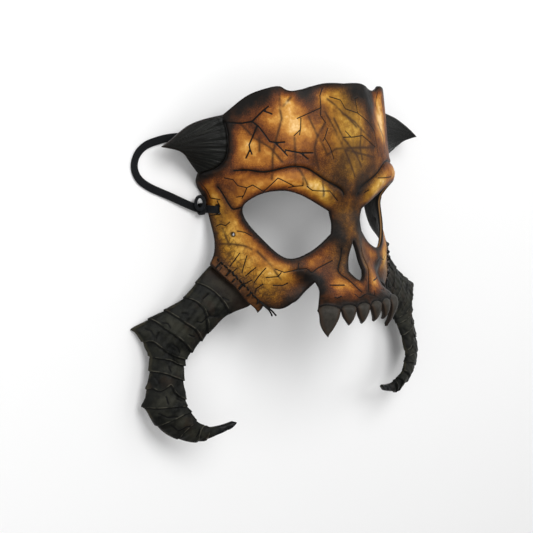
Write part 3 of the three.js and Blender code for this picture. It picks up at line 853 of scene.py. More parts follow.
folds += GROOVE_FOLDS["height"] * at_groove * np.sin(GROOVE_FOLDS["count"] * tip_angle)
folds *= np.clip(tip_away / 14, 0, 1)
height += horn * folds
pillow = np.sqrt(np.clip(np.minimum(edge_mm, crease_mm) / 4.5, 0, 1))
height += tooth * TOOTH_RISE * (pillow - 0.45)
height += rolled_edge(edge_mm, EDGE_RADIUS)
print("relief from", height.min().round(2), "to", height.max().round(2), "mm")

# %% [markdown]
# ## Where the dye is dark
# The dye was sprayed: amber first, then rust, then black, fading softly from every edge and crease. Each
# entry is one pass of the spray gun: how strong, how wide in millimetres, and the line it followed, which
# often is an edge or a crease that is known already. The passes multiply, as real coats do. A few dark
# passes also paint shade, in the forehead valleys, above the brow creases and on the far side of the
# forehead. The light passes are partly the dye's lighter tone and partly a painted highlight.

# %% List the passes of the spray gun
def piece_of(run, low, high):
    """The part of a smooth run between two distances from the midline."""
    line = smooth_line(run, 1.5)
    return line[(line[:, 0] >= low) & (line[:, 0] <= high)]


temple_edge = smooth_line(TEMPLE, 2.0)
eye_edge = smooth_line(EYE_RIM, 2.0)
upper_lid = eye_edge[:len(eye_edge) * 45 // 100]
lower_lid = eye_edge[len(eye_edge) * 48 // 100:]
flange_edge = smooth_line(FLANGE, 2.0)
SEAM = [(104, -26), (96, -34), (89, -45), (83, -57)]
SPRAY_BOTH = [
    (0.98, 13, piece_of(BROW_TOP, 68, 98)),
    (0.8, 4, piece_of(BROW_TOP, 50, 68)),
    # This pass and the next darken the forehead valley: partly dye, partly painted shade.
    (0.6, 7, [(46, 99), (40, 96), (35, 91)]),
    (0.35, 8, [(36, 90), (29, 78), (25, 68)]),
    (0.9, 4.5, piece_of(BROW_TOP, 0, 36)),
    (0.9, 5.8, groove_line),
    (0.9, 5, temple_edge[:11]),
    (0.8, 4.5, temple_edge[7:]),
    (0.35, 3, brow_line),
    # Darker above the brow crease: partly dye, partly painted shade.
    (0.25, 8, brow_line + [0, 3]),
    (0.45, 8, [(10, 26), (8, 15), (8, 4), (10, -4)]),
    (0.6, 3.2, upper_lid),
    (0.85, 4.2, lower_lid),
    (0.5, 5, EYE_INNER_SIDE),
    (0.4, 2.6, temple_line),
    (0.35, 7, [(10, -8), (9, -20)]),
    (0.8, 3.2, smooth_line(NOSE_SIDE, 2.0)),
    (0.8, 3.2, NOSE_UNDER),
    (0.45, 3.6, nose_line),
    (0.8, 7, [(36, -44), (42, -38), (46, -35)]),
    (0.85, 6, smooth_line(CHEEK_UNDER, 2.0)),
    (0.7, 5, MUZZLE_SIDE),
    *[(0.8, 3.4, arch) for arch in arches],
    (0.35, 7, [(40, -52), (27, -54), (13, -55), (0, -54)]),
    (0.5, 4.5, flange_edge),
    (0.35, 5, SEAM),
    (0.45, 9, [(76, 68), (70, 63)]),
    (0.3, 8, [(60, 60), (50, 50), (38, 48)]),
    (0.35, 10, [(30, 50), (18, 40), (12, 30)]),
    (0.3, 8, [(104, 33), (98, 22), (100, 12)]),
    (0.3, 9, [(75, -52), (60, -48), (48, -42)]),
    (0.38, 9, [(14, -14), (22, -28), (30, -42)]),
    (0.28, 7, [(0, 22), (1, 4), (2, -10)]),
    (0.35, 7, [(34, -52), (20, -55), (0, -56)]),
    (0.2, 20, [(0, 78), (0, 52)]),
    (0.12, 12, [(102, -12), (96, -26), (86, -42)]),
]
# Light passes on the raised spots: partly the dye's lighter tone, partly a painted highlight.
LIGHT_DYE_AND_HIGHLIGHT_BOTH = [
    (0.9, 7, [(54, 90), (51, 80), (45, 69)]),
    (0.6, 8, [(86, 62), (82, 54)]),
    (0.7, 7, [(8, 80), (4, 68)]),
    (0.8, 5, [(36, 30), (26, 24)]),
    (0.4, 5, [(76, 30), (58, 31)]),
    (0.5, 7, [(96, -8), (92, -20)]),
    (0.7, 6, [(66, -36), (54, -38)]),
    (0.6, 6, [(22, -48), (10, -47)]),
    (0.4, 4, [(5, -2), (4, -10)]),
]
OLIVE_BOTH = [
    (1.0, 24, [(0, 88), (0, 60), (4, 40)]),
    (0.9, 16, [(106, 4), (98, -18), (88, -40), (76, -48)]),
    (0.8, 10, [(30, 28), (20, 20)]),
    (0.9, 12, [(5, 4), (10, -30)]),
    (0.5, 12, [(60, -42), (50, -36)]),
]
print(len(SPRAY_BOTH), "dark passes,", len(LIGHT_DYE_AND_HIGHLIGHT_BOTH), "light ones and", len(OLIVE_BOTH), "olive ones")

# %% Spray the pattern
WORN_FAR_TEMPLE = [(0.8, 8, [(94, 16), (93, 2), (88, -12), (80, -22)])]
CRACKLE_BOTH = [(0.95, 15, [(96, -24), (86, -38), (78, -50)]), (0.6, 9, [(104, 0), (96, -14)])]
STROKE_SPREAD = 0.95
# Painted shade in the far forehead valley and down the far side of the forehead, given as pixels.
FAR_VALLEY_SHADE = [(355, 90), (361, 92), (366.5, 91), (368, 97)]
FAR_SIDE_SHADE = [(367, 100), (370, 122), (373, 146)]


def sprayed(passes, points):
    """How much of the points is covered, from 0 to 1, after all passes."""
    left = np.ones(len(points))
    for strength, spread, line in passes:
        left *= 1 - strength * np.exp(-(far_from(points, line) / spread) ** 2)
    return 1 - left


far_temple = sprayed(WORN_FAR_TEMPLE, front_spots)
dark = sprayed(SPRAY_BOTH, folded) * (1 - 0.55 * far_temple)
# Painted shade on the far side only, laid over the dye.
far_valley_line, far_side_line = from_photo([FAR_VALLEY_SHADE, FAR_SIDE_SHADE])
far_shade = sprayed([(0.97, 10, far_valley_line), (0.45, 7, far_side_line)], front_spots)
dark = 1 - (1 - dark) * (1 - far_shade)
light = sprayed(LIGHT_DYE_AND_HIGHLIGHT_BOTH, folded)
olive = sprayed(OLIVE_BOTH, folded)
smoke = sprayed([(1.0, STROKE_SPREAD, line) for line in strokes], front_spots)
crackle = sprayed(CRACKLE_BOTH, folded)
FLANGE_AREA = {"from_middle": 75, "above": -70, "below": -24, "soft": 1.5}
STITCH_SPACING = 3.6
seam_line = smooth_line(SEAM + [(82, -62)], 1.0)
past_seam = folded[:, 0] - np.interp(folded[:, 1], seam_line[::-1, 1], seam_line[::-1, 0])
flange = np.clip(past_seam / FLANGE_AREA["soft"] + 0.5, 0, 1) * (folded[:, 0] > FLANGE_AREA["from_middle"])
flange *= (folded[:, 1] < FLANGE_AREA["below"]) & (folded[:, 1] > FLANGE_AREA["above"])
needle_holes = smooth_line(SEAM, STITCH_SPACING)
needle_mm = np.min([np.linalg.norm(folded - hole, axis=1) for hole in needle_holes], axis=0)
print("mean darkness", dark.mean().round(2))

# %% Join front, edge and back into one closed shell
FACE_LEATHER = 3.2
BACK_EDGE_RADIUS = 0.7
FARTHEST = {"edge_mm": 20, "tip_mm": 90}
back_edge = to_many(back_spots, closed_lines(all_loops))
front_sheet = on_sheet(front_spots[:, 0], front_spots[:, 1], height)
back_lift = -FACE_LEATHER - rolled_edge(back_edge, BACK_EDGE_RADIUS)
back_sheet = on_sheet(back_spots[:, 0], back_spots[:, 1], back_lift)
face = close_shell("face", all_loops, (front_sheet, front_triangles, front_loops),
                   (back_sheet, back_triangles, back_loops))
for name, values, elsewhere in (
        ("dark", dark, 1), ("light", light, 0), ("olive", olive, 0), ("smoke", smoke, 0),
        ("crackle", crackle, 0), ("flange", flange, 0), ("horn", horn, 0), ("tooth", tooth, 0),
        ("tip_angle", tip_angle, 0),
        ("bold_mm", bold_mm, FAR), ("fine_mm", fine_mm, FAR), ("crease_mm", crease_mm, FAR),
        ("edge_mm", edge_mm, 0), ("needle_mm", needle_mm, FAR), ("tip_mm", tip_away, 90),
        ("front", np.ones(len(front_sheet)), 0)):
    store_front(face, name, np.minimum(values, FARTHEST.get(name, FAR)), elsewhere)
far_eye = np.zeros(len(face.data.vertices))
far_eye_start = len(front_sheet) + len(back_sheet) + len(outer_loop) + len(nose_loop)
far_eye[far_eye_start:far_eye_start + len(side_holes[0])] = 1
store(face, "far_eye_cut", far_eye)
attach(face, "root")
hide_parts("face_shell")

# %% [markdown]
# ## Writing a material like a sum
# A material is a web of nodes. Drawn by hand each node is dragged into place, but in a script it reads best
# as a sum: every helper adds one node and hands back its result, ready for the next line.

# %% Helpers for materials
def hue(code):
    """A hex colour, as it looks on a screen, turned into the linear light that a shader adds up."""
    parts = [int(code[k:k + 2], 16) / 255 for k in (0, 2, 4)]
    return (*[p / 12.92 if p < 0.04 else ((p + 0.055) / 1.055) ** 2.4 for p in parts], 1)


class Paint:
    def __init__(self, name):
        self.material = bpy.data.materials.new(name)
        self.material.use_nodes = True
        self.tree = self.material.node_tree
        self.shader = self.tree.nodes["Principled BSDF"]
        self.spot = self.add("ShaderNodeTexCoord", "Object", {})

    def feed(self, socket, value):
        if isinstance(value, bpy.types.NodeSocket):
            self.tree.links.new(value, socket)
        else:
            socket.default_value = value

    def add(self, kind, result, inputs, **settings):
        made = self.tree.nodes.new(kind)
        for key, value in settings.items():
            setattr(made, key, value)
        for key, value in inputs.items():
            self.feed(made.inputs[key], value)
        return made.outputs[result]

    def read(self, name):
        return self.add("ShaderNodeAttribute", "Fac", {}, attribute_name=name)

    def math(self, operation, a, b=0.0, clamp=False):
        return self.add("ShaderNodeMath", 0, {0: a, 1: b}, operation=operation, use_clamp=clamp)

    def times(self, a, b):
        return self.math("MULTIPLY", a, b)

    def plus(self, a, b, clamp=False):
        return self.math("ADD", a, b, clamp)

    def minus(self, a, b):
        return self.math("SUBTRACT", a, b)

    def larger(self, a, b):
        return self.math("MAXIMUM", a, b)

    def fade(self, value, start, end, low=0.0, high=1.0):
        """low before start, high after end, and a smooth change between."""
        limits = {"Value": value, "From Min": start, "From Max": end, "To Min": low, "To Max": high}
        return self.add("ShaderNodeMapRange", 0, limits, interpolation_type="SMOOTHSTEP")

    def noise(self, size_mm, detail=3.0, rough=0.55, at=None, warp=0.0):
        return self.add("ShaderNodeTexNoise", "Fac", {
            "Vector": at or self.spot, "Scale": 1000 / size_mm, "Detail": detail, "Roughness": rough,
            "Distortion": warp})

    def cells(self, size_mm, feature="F1", at=None, result="Distance"):
        return self.add("ShaderNodeTexVoronoi", result, {"Vector": at or self.spot, "Scale": 1000 / size_mm},
                        feature=feature)

    def mix(self, share, a, b, how="MIX"):
        made = self.tree.nodes.new("ShaderNodeMix")
        made.data_type = "RGBA"
        made.blend_type = how
        for socket, value in ((made.inputs[0], share), (made.inputs[6], a), (made.inputs[7], b)):
            self.feed(socket, value)
        return made.outputs[2]

    def ramp(self, value, stops):
        made = self.tree.nodes.new("ShaderNodeValToRGB")
        self.feed(made.inputs[0], value)
        row = made.color_ramp.elements
        while len(row) < len(stops):
            row.new(0.5)
        for element, (place, colour) in zip(row, stops):
            element.position = place
            element.color = hue(colour)
        return made.outputs[0]

    def bump(self, height, depth_mm, strength=1.0, under=None):
        inputs = {"Height": height, "Distance": depth_mm * MM, "Strength": strength}
        if under is not None:
            inputs["Normal"] = under
        return self.add("ShaderNodeBump", "Normal", inputs)

    def finish(self, piece, **sockets):
        for key, value in sockets.items():
            self.feed(self.shader.inputs[key.replace("_", " ")], value)
        piece.data.materials.append(self.material)


print("material helpers ready")

# %% [markdown]
# ## Dyed leather
# The amber dye soaks in unevenly, so its tone wanders over a centimetre or so. It leans to olive gold in the
# middle of the forehead and on the cheeks, and to rust elsewhere. The black coats lie on it as a mist, and at
# their edges the droplets can be told apart. Nothing is lacquered: the skin has a low satin shine that
# wanders a little, and only the small horns are rubbed smoother.

# %% Mix the amber dye
leather = Paint("dyed leather")
read = {name: leather.read(name) for name in (
    "dark", "light", "olive", "smoke", "crackle", "flange", "horn", "tooth", "tip_angle", "tip_mm", "bold_mm",
    "fine_mm", "crease_mm", "edge_mm", "needle_mm", "far_eye_cut", "front")}
mist = leather.noise(0.8, 2.0, 0.6)
cloud = leather.noise(17, 4.0, 0.6)
blotch = leather.noise(5, 4.0, 0.65)
wander = leather.times(leather.minus(cloud, 0.5), 0.65)
wander = leather.plus(wander, leather.times(leather.minus(blotch, 0.5), 0.42))
droplets = leather.times(leather.fade(read["dark"], 0.05, 0.4), leather.fade(read["dark"], 0.95, 0.6))
droplets = leather.times(leather.times(droplets, 0.5), leather.minus(mist, 0.5))
coat = leather.plus(leather.times(read["dark"], 0.8), wander)
coat = leather.plus(coat, droplets)
# Lighter under the light passes: partly the dye, partly a painted highlight on the raised spots.
coat = leather.minus(coat, leather.times(read["light"], 0.18))
coat = leather.plus(coat, 0.2, clamp=True)
rust_dye = leather.ramp(coat, [(0.0, "E8C286"), (0.12, "CA9344"), (0.25, "A36724"), (0.4, "7C4617"),
                               (0.55, "582D11"), (0.7, "391E0C"), (0.84, "1E1108"), (0.96, "0A0604")])
olive_dye = leather.ramp(coat, [(0.0, "E2C27C"), (0.12, "BE943C"), (0.25, "946A1E"), (0.4, "6C4914"),
                                (0.55, "4A3010"), (0.7, "2E1D0B"), (0.84, "191008"), (0.96, "0A0704")])
dye = leather.mix(read["olive"], rust_dye, olive_dye)
wobble = leather.add("ShaderNodeTexNoise", "Color", {"Vector": leather.spot, "Scale": 400.0})
wobble = leather.add("ShaderNodeVectorMath", 0, {0: wobble, 1: (1.6 * MM,) * 3}, operation="MULTIPLY")
wobbled = leather.add("ShaderNodeVectorMath", 0, {0: leather.spot, 1: wobble}, operation="ADD")
veins = leather.cells(3.4, "DISTANCE_TO_EDGE", at=wobbled)
fine_web = leather.times(leather.fade(veins, 0.1, 0.03), read["crackle"])
fine_web = leather.times(fine_web, leather.fade(blotch, 0.36, 0.52))
dye = leather.mix(leather.times(fine_web, 0.65), dye, hue("2E1C0C"))
print("amber, rust and olive dye:", len(leather.tree.nodes), "nodes")

# %% Paint the strokes, the horns, the teeth and the ink
strokes = leather.times(read["smoke"], leather.fade(leather.noise(9, 2.0), 0.25, 0.5, 0.35, 1.0))
dye = leather.mix(leather.times(strokes, 0.92), dye, hue("301B0B"))
# Darker brown on the cheek flange: partly the dye, partly painted shade, since the flange lies in shadow.
dye = leather.mix(leather.times(read["flange"], 0.65), dye,
                  leather.mix(leather.fade(blotch, 0.36, 0.62), hue("1A0E07"), hue("603A18")))
streaks = leather.add("ShaderNodeTexNoise", "Fac", {
    "Vector": leather.add("ShaderNodeCombineXYZ", 0, {0: leather.times(read["tip_angle"], 34.0),
                                                      1: leather.times(read["tip_mm"], 0.04)}),
    "Scale": 1.0, "Detail": 4.0, "Roughness": 0.6})
# The small horns are black. Their lighter streaks are partly a painted highlight along the folds.
horn_dye = leather.ramp(streaks, [(0.3, "050505"), (0.52, "0E0F0D"), (0.64, "1B1C19"), (0.78, "34352F")])
dye = leather.mix(read["horn"], dye, horn_dye)
tooth_tone = leather.mix(blotch, hue("12110F"), hue("45413B"))
tooth_tone = leather.mix(leather.fade(read["edge_mm"], 4.0, 0.8), tooth_tone, hue("35291F"))
dye = leather.mix(read["tooth"], dye, tooth_tone)
ink = leather.larger(leather.fade(read["bold_mm"], 0.75, 0.4), leather.fade(read["fine_mm"], 0.55, 0.2))
ink = leather.larger(ink, leather.fade(read["crease_mm"], 0.8, 0.5))
ink = leather.larger(ink, leather.fade(read["needle_mm"], 0.9, 0.5))
dye = leather.mix(ink, dye, hue("040302"))
burnish = leather.times(leather.fade(read["edge_mm"], 1.6, 0.5), read["front"])
dye = leather.mix(leather.times(burnish, 0.85), dye, hue("120B08"))
behind = leather.mix(leather.noise(3.0, 4.0), hue("0B0A09"), hue("1C1916"))
dye = leather.mix(leather.minus(1.0, read["front"]), dye, behind)
dye = leather.mix(read["far_eye_cut"], dye, hue("8F6A40"))
print("with strokes and ink:", len(leather.tree.nodes), "nodes")

# %% Give the skin its pores and its shine
skin = leather.plus(leather.times(leather.fade(leather.cells(1.15), 0.0, 0.5), 0.6),
                    leather.noise(0.9, 4.0, 0.6))
surface = leather.bump(leather.noise(4.5, 3.0, 0.5, warp=0.6), 0.55, 0.6)
surface = leather.bump(skin, 0.12, 0.55, under=surface)
surface = leather.bump(fine_web, -0.25, 0.8, under=surface)
surface = leather.bump(leather.times(streaks, read["horn"]), 0.9, 0.7, under=surface)
gloss = leather.plus(0.34, leather.times(leather.noise(9, 3.0), 0.16))
gloss = leather.plus(gloss, leather.times(skin, 0.06))
gloss = leather.minus(gloss, leather.times(read["horn"], 0.15))
leather.finish(face, Base_Color=dye, Roughness=gloss, Normal=surface)
leather.shader.inputs["IOR"].default_value = 1.5
leather.shader.inputs["Specular IOR Level"].default_value = 0.13
print("leather made of", len(leather.tree.nodes), "nodes")

# %% [markdown]
# ## The jaw horns
# Each jaw horn is its own piece of black leather, a crescent that was cut and pressed so that it looks like
# a row of overlapping plates. The plates' lips were folded up, with a shadow painted in the groove behind,
# and their ends stick out past the edge. One slanting plane carries the crescent. It isn't flat: its middle
# is crowned, and it stands further out below than at the root, where it dives under the cheek. Straight
# lines across it say how far, and any point takes a blend of the closest ones.

# %% Set out the jaw horn's plane
HORN_TURN = math.radians(24)
HORN_LEATHER = 2.8
HORN_UPPER = {"outer": [(89, -31), (106, -42), (127, -60), (150, -72)],
              "inner": [(63, -54), (84, -67), (115, -94)]}
HORN_LOWER = {"outer": [(150, -72), (139, -90), (146, -127), (126, -152), (100, -159), (77, -147)],
              "inner": [(115, -94), (118, -115), (116, -133), (100, -147), (79, -146)]}
UPPER_RIBS = 6
LOWER_RIBS = 11
HORN_SHARES = np.array([0, 0.12, 0.24, 0.35, 0.5, 0.68, 0.85, 1])
HORN_OUTER_SET = np.array([-6.5, -2.6, 0, 3, 6, 10, 4, 1])
HORN_INNER_SET = np.array([4, 0, 0, 1, 6, 10, 4, 1])
HORN_CROWN = np.array([0, 2, 4, 4, 4, 4, 2.5, 0])
FACING = np.array([math.sin(HORN_TURN), 0, math.cos(HORN_TURN)])


def at_shares(points, shares):
    """Places at shares of the way along a smooth curve."""
    line = smooth_line(points, 0.25)
    run = run_along(line)
    return at_run(line, run, shares * run[-1])


def crossing_ends(edge):
    upper = at_shares(HORN_UPPER[edge], np.arange(UPPER_RIBS) / UPPER_RIBS)
    lower = at_shares(HORN_LOWER[edge], np.arange(LOWER_RIBS + 1) / LOWER_RIBS)
    return np.vstack([upper, lower])


outer_ends, inner_ends = crossing_ends("outer"), crossing_ends("inner")
crossing_share = np.linspace(0, 1, len(outer_ends))
outer_set, inner_set, crowns = [through(HORN_SHARES, values, crossing_share)
                                for values in (HORN_OUTER_SET, HORN_INNER_SET, HORN_CROWN)]
horn_spine = smooth_line((outer_ends + inner_ends) / 2, 2.0)


def crossing_cloud():
    """Points all over the crescent with how far each stands out of the slanting plane."""
    places, outs = [], []
    share = np.linspace(-0.1, 1.1, 25)[:, None]
    for k in range(len(outer_ends) - 1):
        for t in np.linspace(0, 1, 9, endpoint=False):
            outer, inner, low, high, crown = [ends[k] * (1 - t) + ends[k + 1] * t for ends in (
                outer_ends, inner_ends, outer_set, inner_set, crowns)]
            places.append(outer * (1 - share) + inner * share)
            outs.append((low * (1 - share) + high * share + crown * 4 * share * (1 - share)).ravel())
    return np.vstack(places), np.concatenate(outs)


NEIGHBOURS = 8
BLEND_SOFTNESS = 0.4
cloud_spots, cloud_outs = crossing_cloud()
cloud_tree = search_tree(cloud_spots)


def stands_out(spots):
    """How far the leather stands out of the slanting plane, blended from the closest places of the cloud."""
    outs = []
    for x, y in spots:
        near = cloud_tree.find_n((x, y, 0), NEIGHBOURS)
        weights = [1 / (d * d + BLEND_SOFTNESS) for _, _, d in near]
        outs.append(sum(w * cloud_outs[k] for w, (_, k, _) in zip(weights, near)) / sum(weights))
    return np.array(outs)


def on_slant(spots, out, side):
    """Places in the row frame; where the leather would dip under the table, it lies flat on it."""
    x, y = spots[:, 0], spots[:, 1]
    z = (out - FACING[0] * x) / FACING[2]
    return np.stack([side * x, y + FACE_SHIFT, np.maximum(z + FACE_LIFT, 0)], axis=1)


print("jaw horn:", len(outer_ends), "lines across,", round(line_length(horn_spine)), "mm along its middle")

# %% [markdown]
# The edges and the lips of the plates are read off the photograph like the cracks, from the horn that is
# closest to the camera. The root is hidden under the cheek, so the edges are carried on to where it starts.

# %% Read the horn off the photograph
HORN_OUTER_EDGE = [
    (210.5, 265.8), (196.9, 282.7), (191.6, 290), (185, 297.6), (174, 305), (165.5, 310), (149.8, 318.7),
    (131.8, 329), (136.3, 333.4), (142.8, 342), (145.5, 348.5), (149.3, 356), (149.8, 369), (148.7, 382),
    (146.6, 389.7), (145.5, 399.5), (142.8, 407.6), (146, 411), (151.4, 419), (159, 428.8),
    (167.7, 435.3), (178.5, 440), (188.3, 442.3), (200, 442.3), (212, 438.5), (224, 433), (231.7, 428.8),
    (238.4, 421.7),
]
HORN_INNER_EDGE = [
    (249, 307), (232.8, 313.3), (217.6, 324.7), (202, 341.5), (192, 353), (187, 359.4), (185, 367),
    (184.5, 380), (186, 394), (187.2, 403.8), (191.6, 411), (196.4, 419), (202.4, 424), (212, 426.6),
    (223, 425), (233.8, 421.7),
]
PLATE_LIPS = [
    [(197, 282.7), (207, 286.8), (217.6, 294.8), (225.6, 305), (229, 312)],
    [(185.4, 297.7), (194.6, 300.5), (202.7, 307.4), (206, 314.3), (208, 330)],
    [(165.5, 310), (172, 314), (185, 322.5), (196, 330), (202, 341)],
    [(149.8, 318.7), (157, 322.5), (166.6, 330), (174, 334), (178.5, 337.7), (187, 345), (191.6, 352)],
    [(143, 342), (151.4, 341), (161, 347.5), (172, 355), (185, 358.8)],
    [(149, 356), (161, 358.8), (170, 360), (177.5, 363.7), (184, 365.4)],
    [(150.4, 371), (163.4, 373), (174, 376.7), (184, 380.5)],
    [(147, 389), (152.5, 388), (159, 391.4), (166.6, 387.6), (170.4, 384.3), (176.4, 394), (185, 399)],
    [(144.4, 407.6), (158, 408.2), (174, 407), (186, 406)],
    [(158, 425.5), (168.8, 421.7), (180.7, 415.8), (191.6, 411.4)],
    [(178.5, 438), (187, 428.8), (196, 420)],
    [(198, 440), (200, 430), (204.6, 424.4)],
    [(206.7, 438), (208.4, 426.6)],
]
HORN_CUTS = [
    [(100, -62), (97, -66), (92, -66.4)], [(99, -66), (104, -70), (107, -69)], [(97, -50), (101, -53)],
    [(131, -68), (127, -69), (126, -72)], [(142, -71.6), (138.6, -73.4), (138, -77)],
    [(136, -79), (134, -75)], [(125, -84), (121, -87), (119, -91)], [(130, -99), (129, -103)],
    [(139, -106), (137, -111)], [(134, -120), (133.4, -125)], [(127, -122), (123, -124)],
    [(139, -132), (134, -135), (128, -134.6)], [(126, -146), (121, -143), (116, -143.6)],
    [(131, -141), (127, -145)], [(112, -152), (110.6, -147)], [(117, -62), (113, -63.6)],
    [(109, -80), (113, -78)], [(88, -53), (84, -55)],
]
print(len(PLATE_LIPS), "lips and", len(HORN_CUTS), "small cuts are seen")

# %% Draw the jaw horn
HORN_ROOT = {"outer": (89, -31), "inner": (63, -54)}
HORN_FINE_STEP = 0.95
HORN_COARSE_STEP = 2.6
HORN_LINE_STEP = 0.8
LIP_ROWS = (0.4, 0.8)


def horn_from_photo(pixels):
    """Places on the horn, in x and y of the face, that are seen at the given pixels on the near horn."""
    pixels = np.array(pixels, dtype=float)
    aside = (pixels - PHOTO_SIDE / 2) * [1, -1] / LENS_PIXELS
    rays = np.column_stack([aside, -np.ones(len(pixels))]) @ TURN
    start = CAMERA_SPOT - [0, FACE_SHIFT, FACE_LIFT]
    facing = FACING * [-1, 1, 1]
    out = np.zeros(len(pixels))
    for _ in range(5):
        reach = (out - start @ facing) / (rays @ facing)
        spots = (start + rays * reach[:, None])[:, :2] * [-1, 1]
        out = stands_out(spots)
    return spots


def lengthened(line, reach=2.5):
    """The same line, carried on a little at both ends."""
    before, after = unit(line[0] - line[1]) * reach, unit(line[-1] - line[-2]) * reach
    return np.vstack([line[0] + before, line, line[-1] + after])


def notched_edge(edge, lip_ends, inward, depth=0.9, step=0.8):
    """An edge that drops back behind every plate's lip and rises again to the next one."""
    line = smooth_line(edge, 0.25)
    run = run_along(line)
    stops = [run[np.argmin(np.linalg.norm(line - end, axis=1))] for end in lip_ends]
    inside = beside(line, inward)
    pieces = []
    stops = sorted({0.0, *map(float, stops), float(run[-1])})
    for start, stop in zip(stops[:-1], stops[1:]):
        t = np.linspace(0, 1, max(2, round((stop - start) / step)), endpoint=False)
        place, shifted = [at_run(side, run, start + (stop - start) * t) for side in (line, inside)]
        pieces.append(place + (shifted - place) * (depth * (1 - t) * (t > 0))[:, None])
    return np.vstack(pieces)


outer_edge = np.vstack([[HORN_ROOT["outer"]], horn_from_photo(HORN_OUTER_EDGE)])
inner_edge = np.vstack([[HORN_ROOT["inner"]], horn_from_photo(HORN_INNER_EDGE)])
plate_lips = [smooth_line(horn_from_photo(line), 2.0) for line in PLATE_LIPS]
outer_notches = notched_edge(outer_edge, [line[0] for line in plate_lips], -1)
inner_notches = notched_edge(inner_edge, [line[-1] for line in plate_lips], 1, depth=0.6)
horn_loop = np.vstack([outer_notches, inner_edge[-1:], inner_notches[:0:-1]])
horn_lines = [(smooth_line(lengthened(line), HORN_LINE_STEP), LIP_ROWS) for line in plate_lips]
horn_lines += [(smooth_line(line, HORN_LINE_STEP), CRACK_ROWS) for line in HORN_CUTS]
horn_spots, horn_triangles, horn_numbers = fill_pattern([horn_loop], HORN_FINE_STEP, horn_lines, FRONT_INSETS)
rear_spots, rear_triangles, rear_numbers = fill_pattern([horn_loop], HORN_COARSE_STEP, (), BACK_INSETS)
print("jaw horn: front", len(horn_triangles), "back", len(rear_triangles), "triangles")

# %% Raise the plates
PLATE_STEP = 0.9
LIP_ROLL = 0.35
GROOVE_BEHIND_LIP = 0.3
LUMP_HEIGHT = 0.16
CUT_DEPTH = 0.4
CUT_LIP = 0.18
CUT_HALF_WIDTH = 0.8
HORN_EDGE_RADIUS = 0.8
REAR_EDGE_RADIUS = 0.6
CHEEK_LINE = {"normal": (0.72, -0.694), "start": 95, "soft": 9}


def past_line(points, line):
    """Signed distance to a line across the horn, positive on the tip's side."""
    longer = np.vstack([line[0] - (line[1] - line[0]) * 3, line, line[-1] + (line[-1] - line[-2]) * 3])
    nearest, stretch, share = nearest_on(points, longer)
    d = np.diff(longer, axis=0)[stretch]
    away = points - longer[stretch] - share[:, None] * d
    side = np.sign(d[:, 0] * away[:, 1] - d[:, 1] * away[:, 0])
    return nearest * np.where(side == 0, -1, side)


def plate_height(spots):
    """Height of the overlapping plates, and the distance to the closest lip and to the shadow painted behind
    it.
    """
    signed = np.array([past_line(spots, line) for line in plate_lips])
    passed = np.sum(signed > 0.02, axis=0)
    padded = np.vstack([np.full(len(spots), FAR), np.abs(signed), np.full(len(spots), FAR)])
    rows = np.arange(len(spots))
    since, until = padded[passed, rows], padded[passed + 1, rows]
    climb = since / np.maximum(since + until, 0.1)
    raised = PLATE_STEP * climb ** 1.6 * (passed < len(plate_lips))
    raised += LIP_ROLL * np.exp(-(until / 1.1) ** 2) * (passed < len(plate_lips))
    raised -= GROOVE_BEHIND_LIP * np.exp(-((since - 0.5) / 0.6) ** 2) * (passed > 0)
    return raised, since, until, passed


spine_share = along_line(horn_spots, horn_spine)[1]
plates, since_lip, until_lip, plate_number = plate_height(horn_spots)
cut_mm = to_many(horn_spots, HORN_CUTS)
horn_edge = to_many(horn_spots, closed_lines([horn_loop]))
rear_edge = to_many(rear_spots, closed_lines([horn_loop]))
across, along = horn_spots.T
lumps = np.sin(across * 0.61 + 1.3 * plate_number) + np.sin(along * 0.53 + 2.1 * plate_number)
lumps += np.sin((across + along) * 0.9 + plate_number)
clear_of_cheek = np.clip((horn_spots @ CHEEK_LINE["normal"] - CHEEK_LINE["start"]) / CHEEK_LINE["soft"], 0, 1)
cut_lines = CUT_LIP * np.exp(-((cut_mm - 1.5) / CUT_HALF_WIDTH) ** 2)
cut_lines -= CUT_DEPTH * np.clip(1 - cut_mm / CUT_HALF_WIDTH, 0, 1)
tooled = (plates + LUMP_HEIGHT * lumps + cut_lines) * clear_of_cheek
horn_out = stands_out(horn_spots) + tooled + rolled_edge(horn_edge, HORN_EDGE_RADIUS)
rear_out = stands_out(rear_spots) - HORN_LEATHER - rolled_edge(rear_edge, REAR_EDGE_RADIUS)
print("plates rise", tooled.max().round(2), "mm")

# %% Close both jaw horns
plate_tone = 0.5 + 0.5 * np.sin(plate_number * 2.3 + 0.7)
# Where the highlight on each plate is painted: strongest in its middle, away from the lips and edges.
mid_plate = np.sin(np.pi * since_lip / np.maximum(since_lip + until_lip, 0.1))
mid_plate *= np.clip((horn_edge - 1) / 6, 0, 1)
jaw_horns = []
for side, name, node in ((1, "jaw_horn.left", "jaw_horn_left"), (-1, "jaw_horn.right", "jaw_horn_right")):
    turned = slice(None, None, side)
    piece = close_shell(name, [horn_loop * [side, 1]],
                        (on_slant(horn_spots, horn_out, side), horn_triangles[:, turned], horn_numbers),
                        (on_slant(rear_spots, rear_out, side), rear_triangles[:, turned], rear_numbers))
    for key, values, elsewhere in (
            ("since_lip", since_lip, FAR), ("until_lip", until_lip, FAR), ("cut_mm", cut_mm, FAR),
            ("edge_mm", horn_edge, 0), ("plate_tone", plate_tone, 0.3), ("mid_plate", mid_plate, 0),
            ("along", spine_share, 0.5), ("front", np.ones(len(horn_spots)), 0)):
        store_front(piece, key, np.minimum(values, FAR), elsewhere)
    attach(piece, "root")
    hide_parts(node)
    jaw_horns.append(piece)
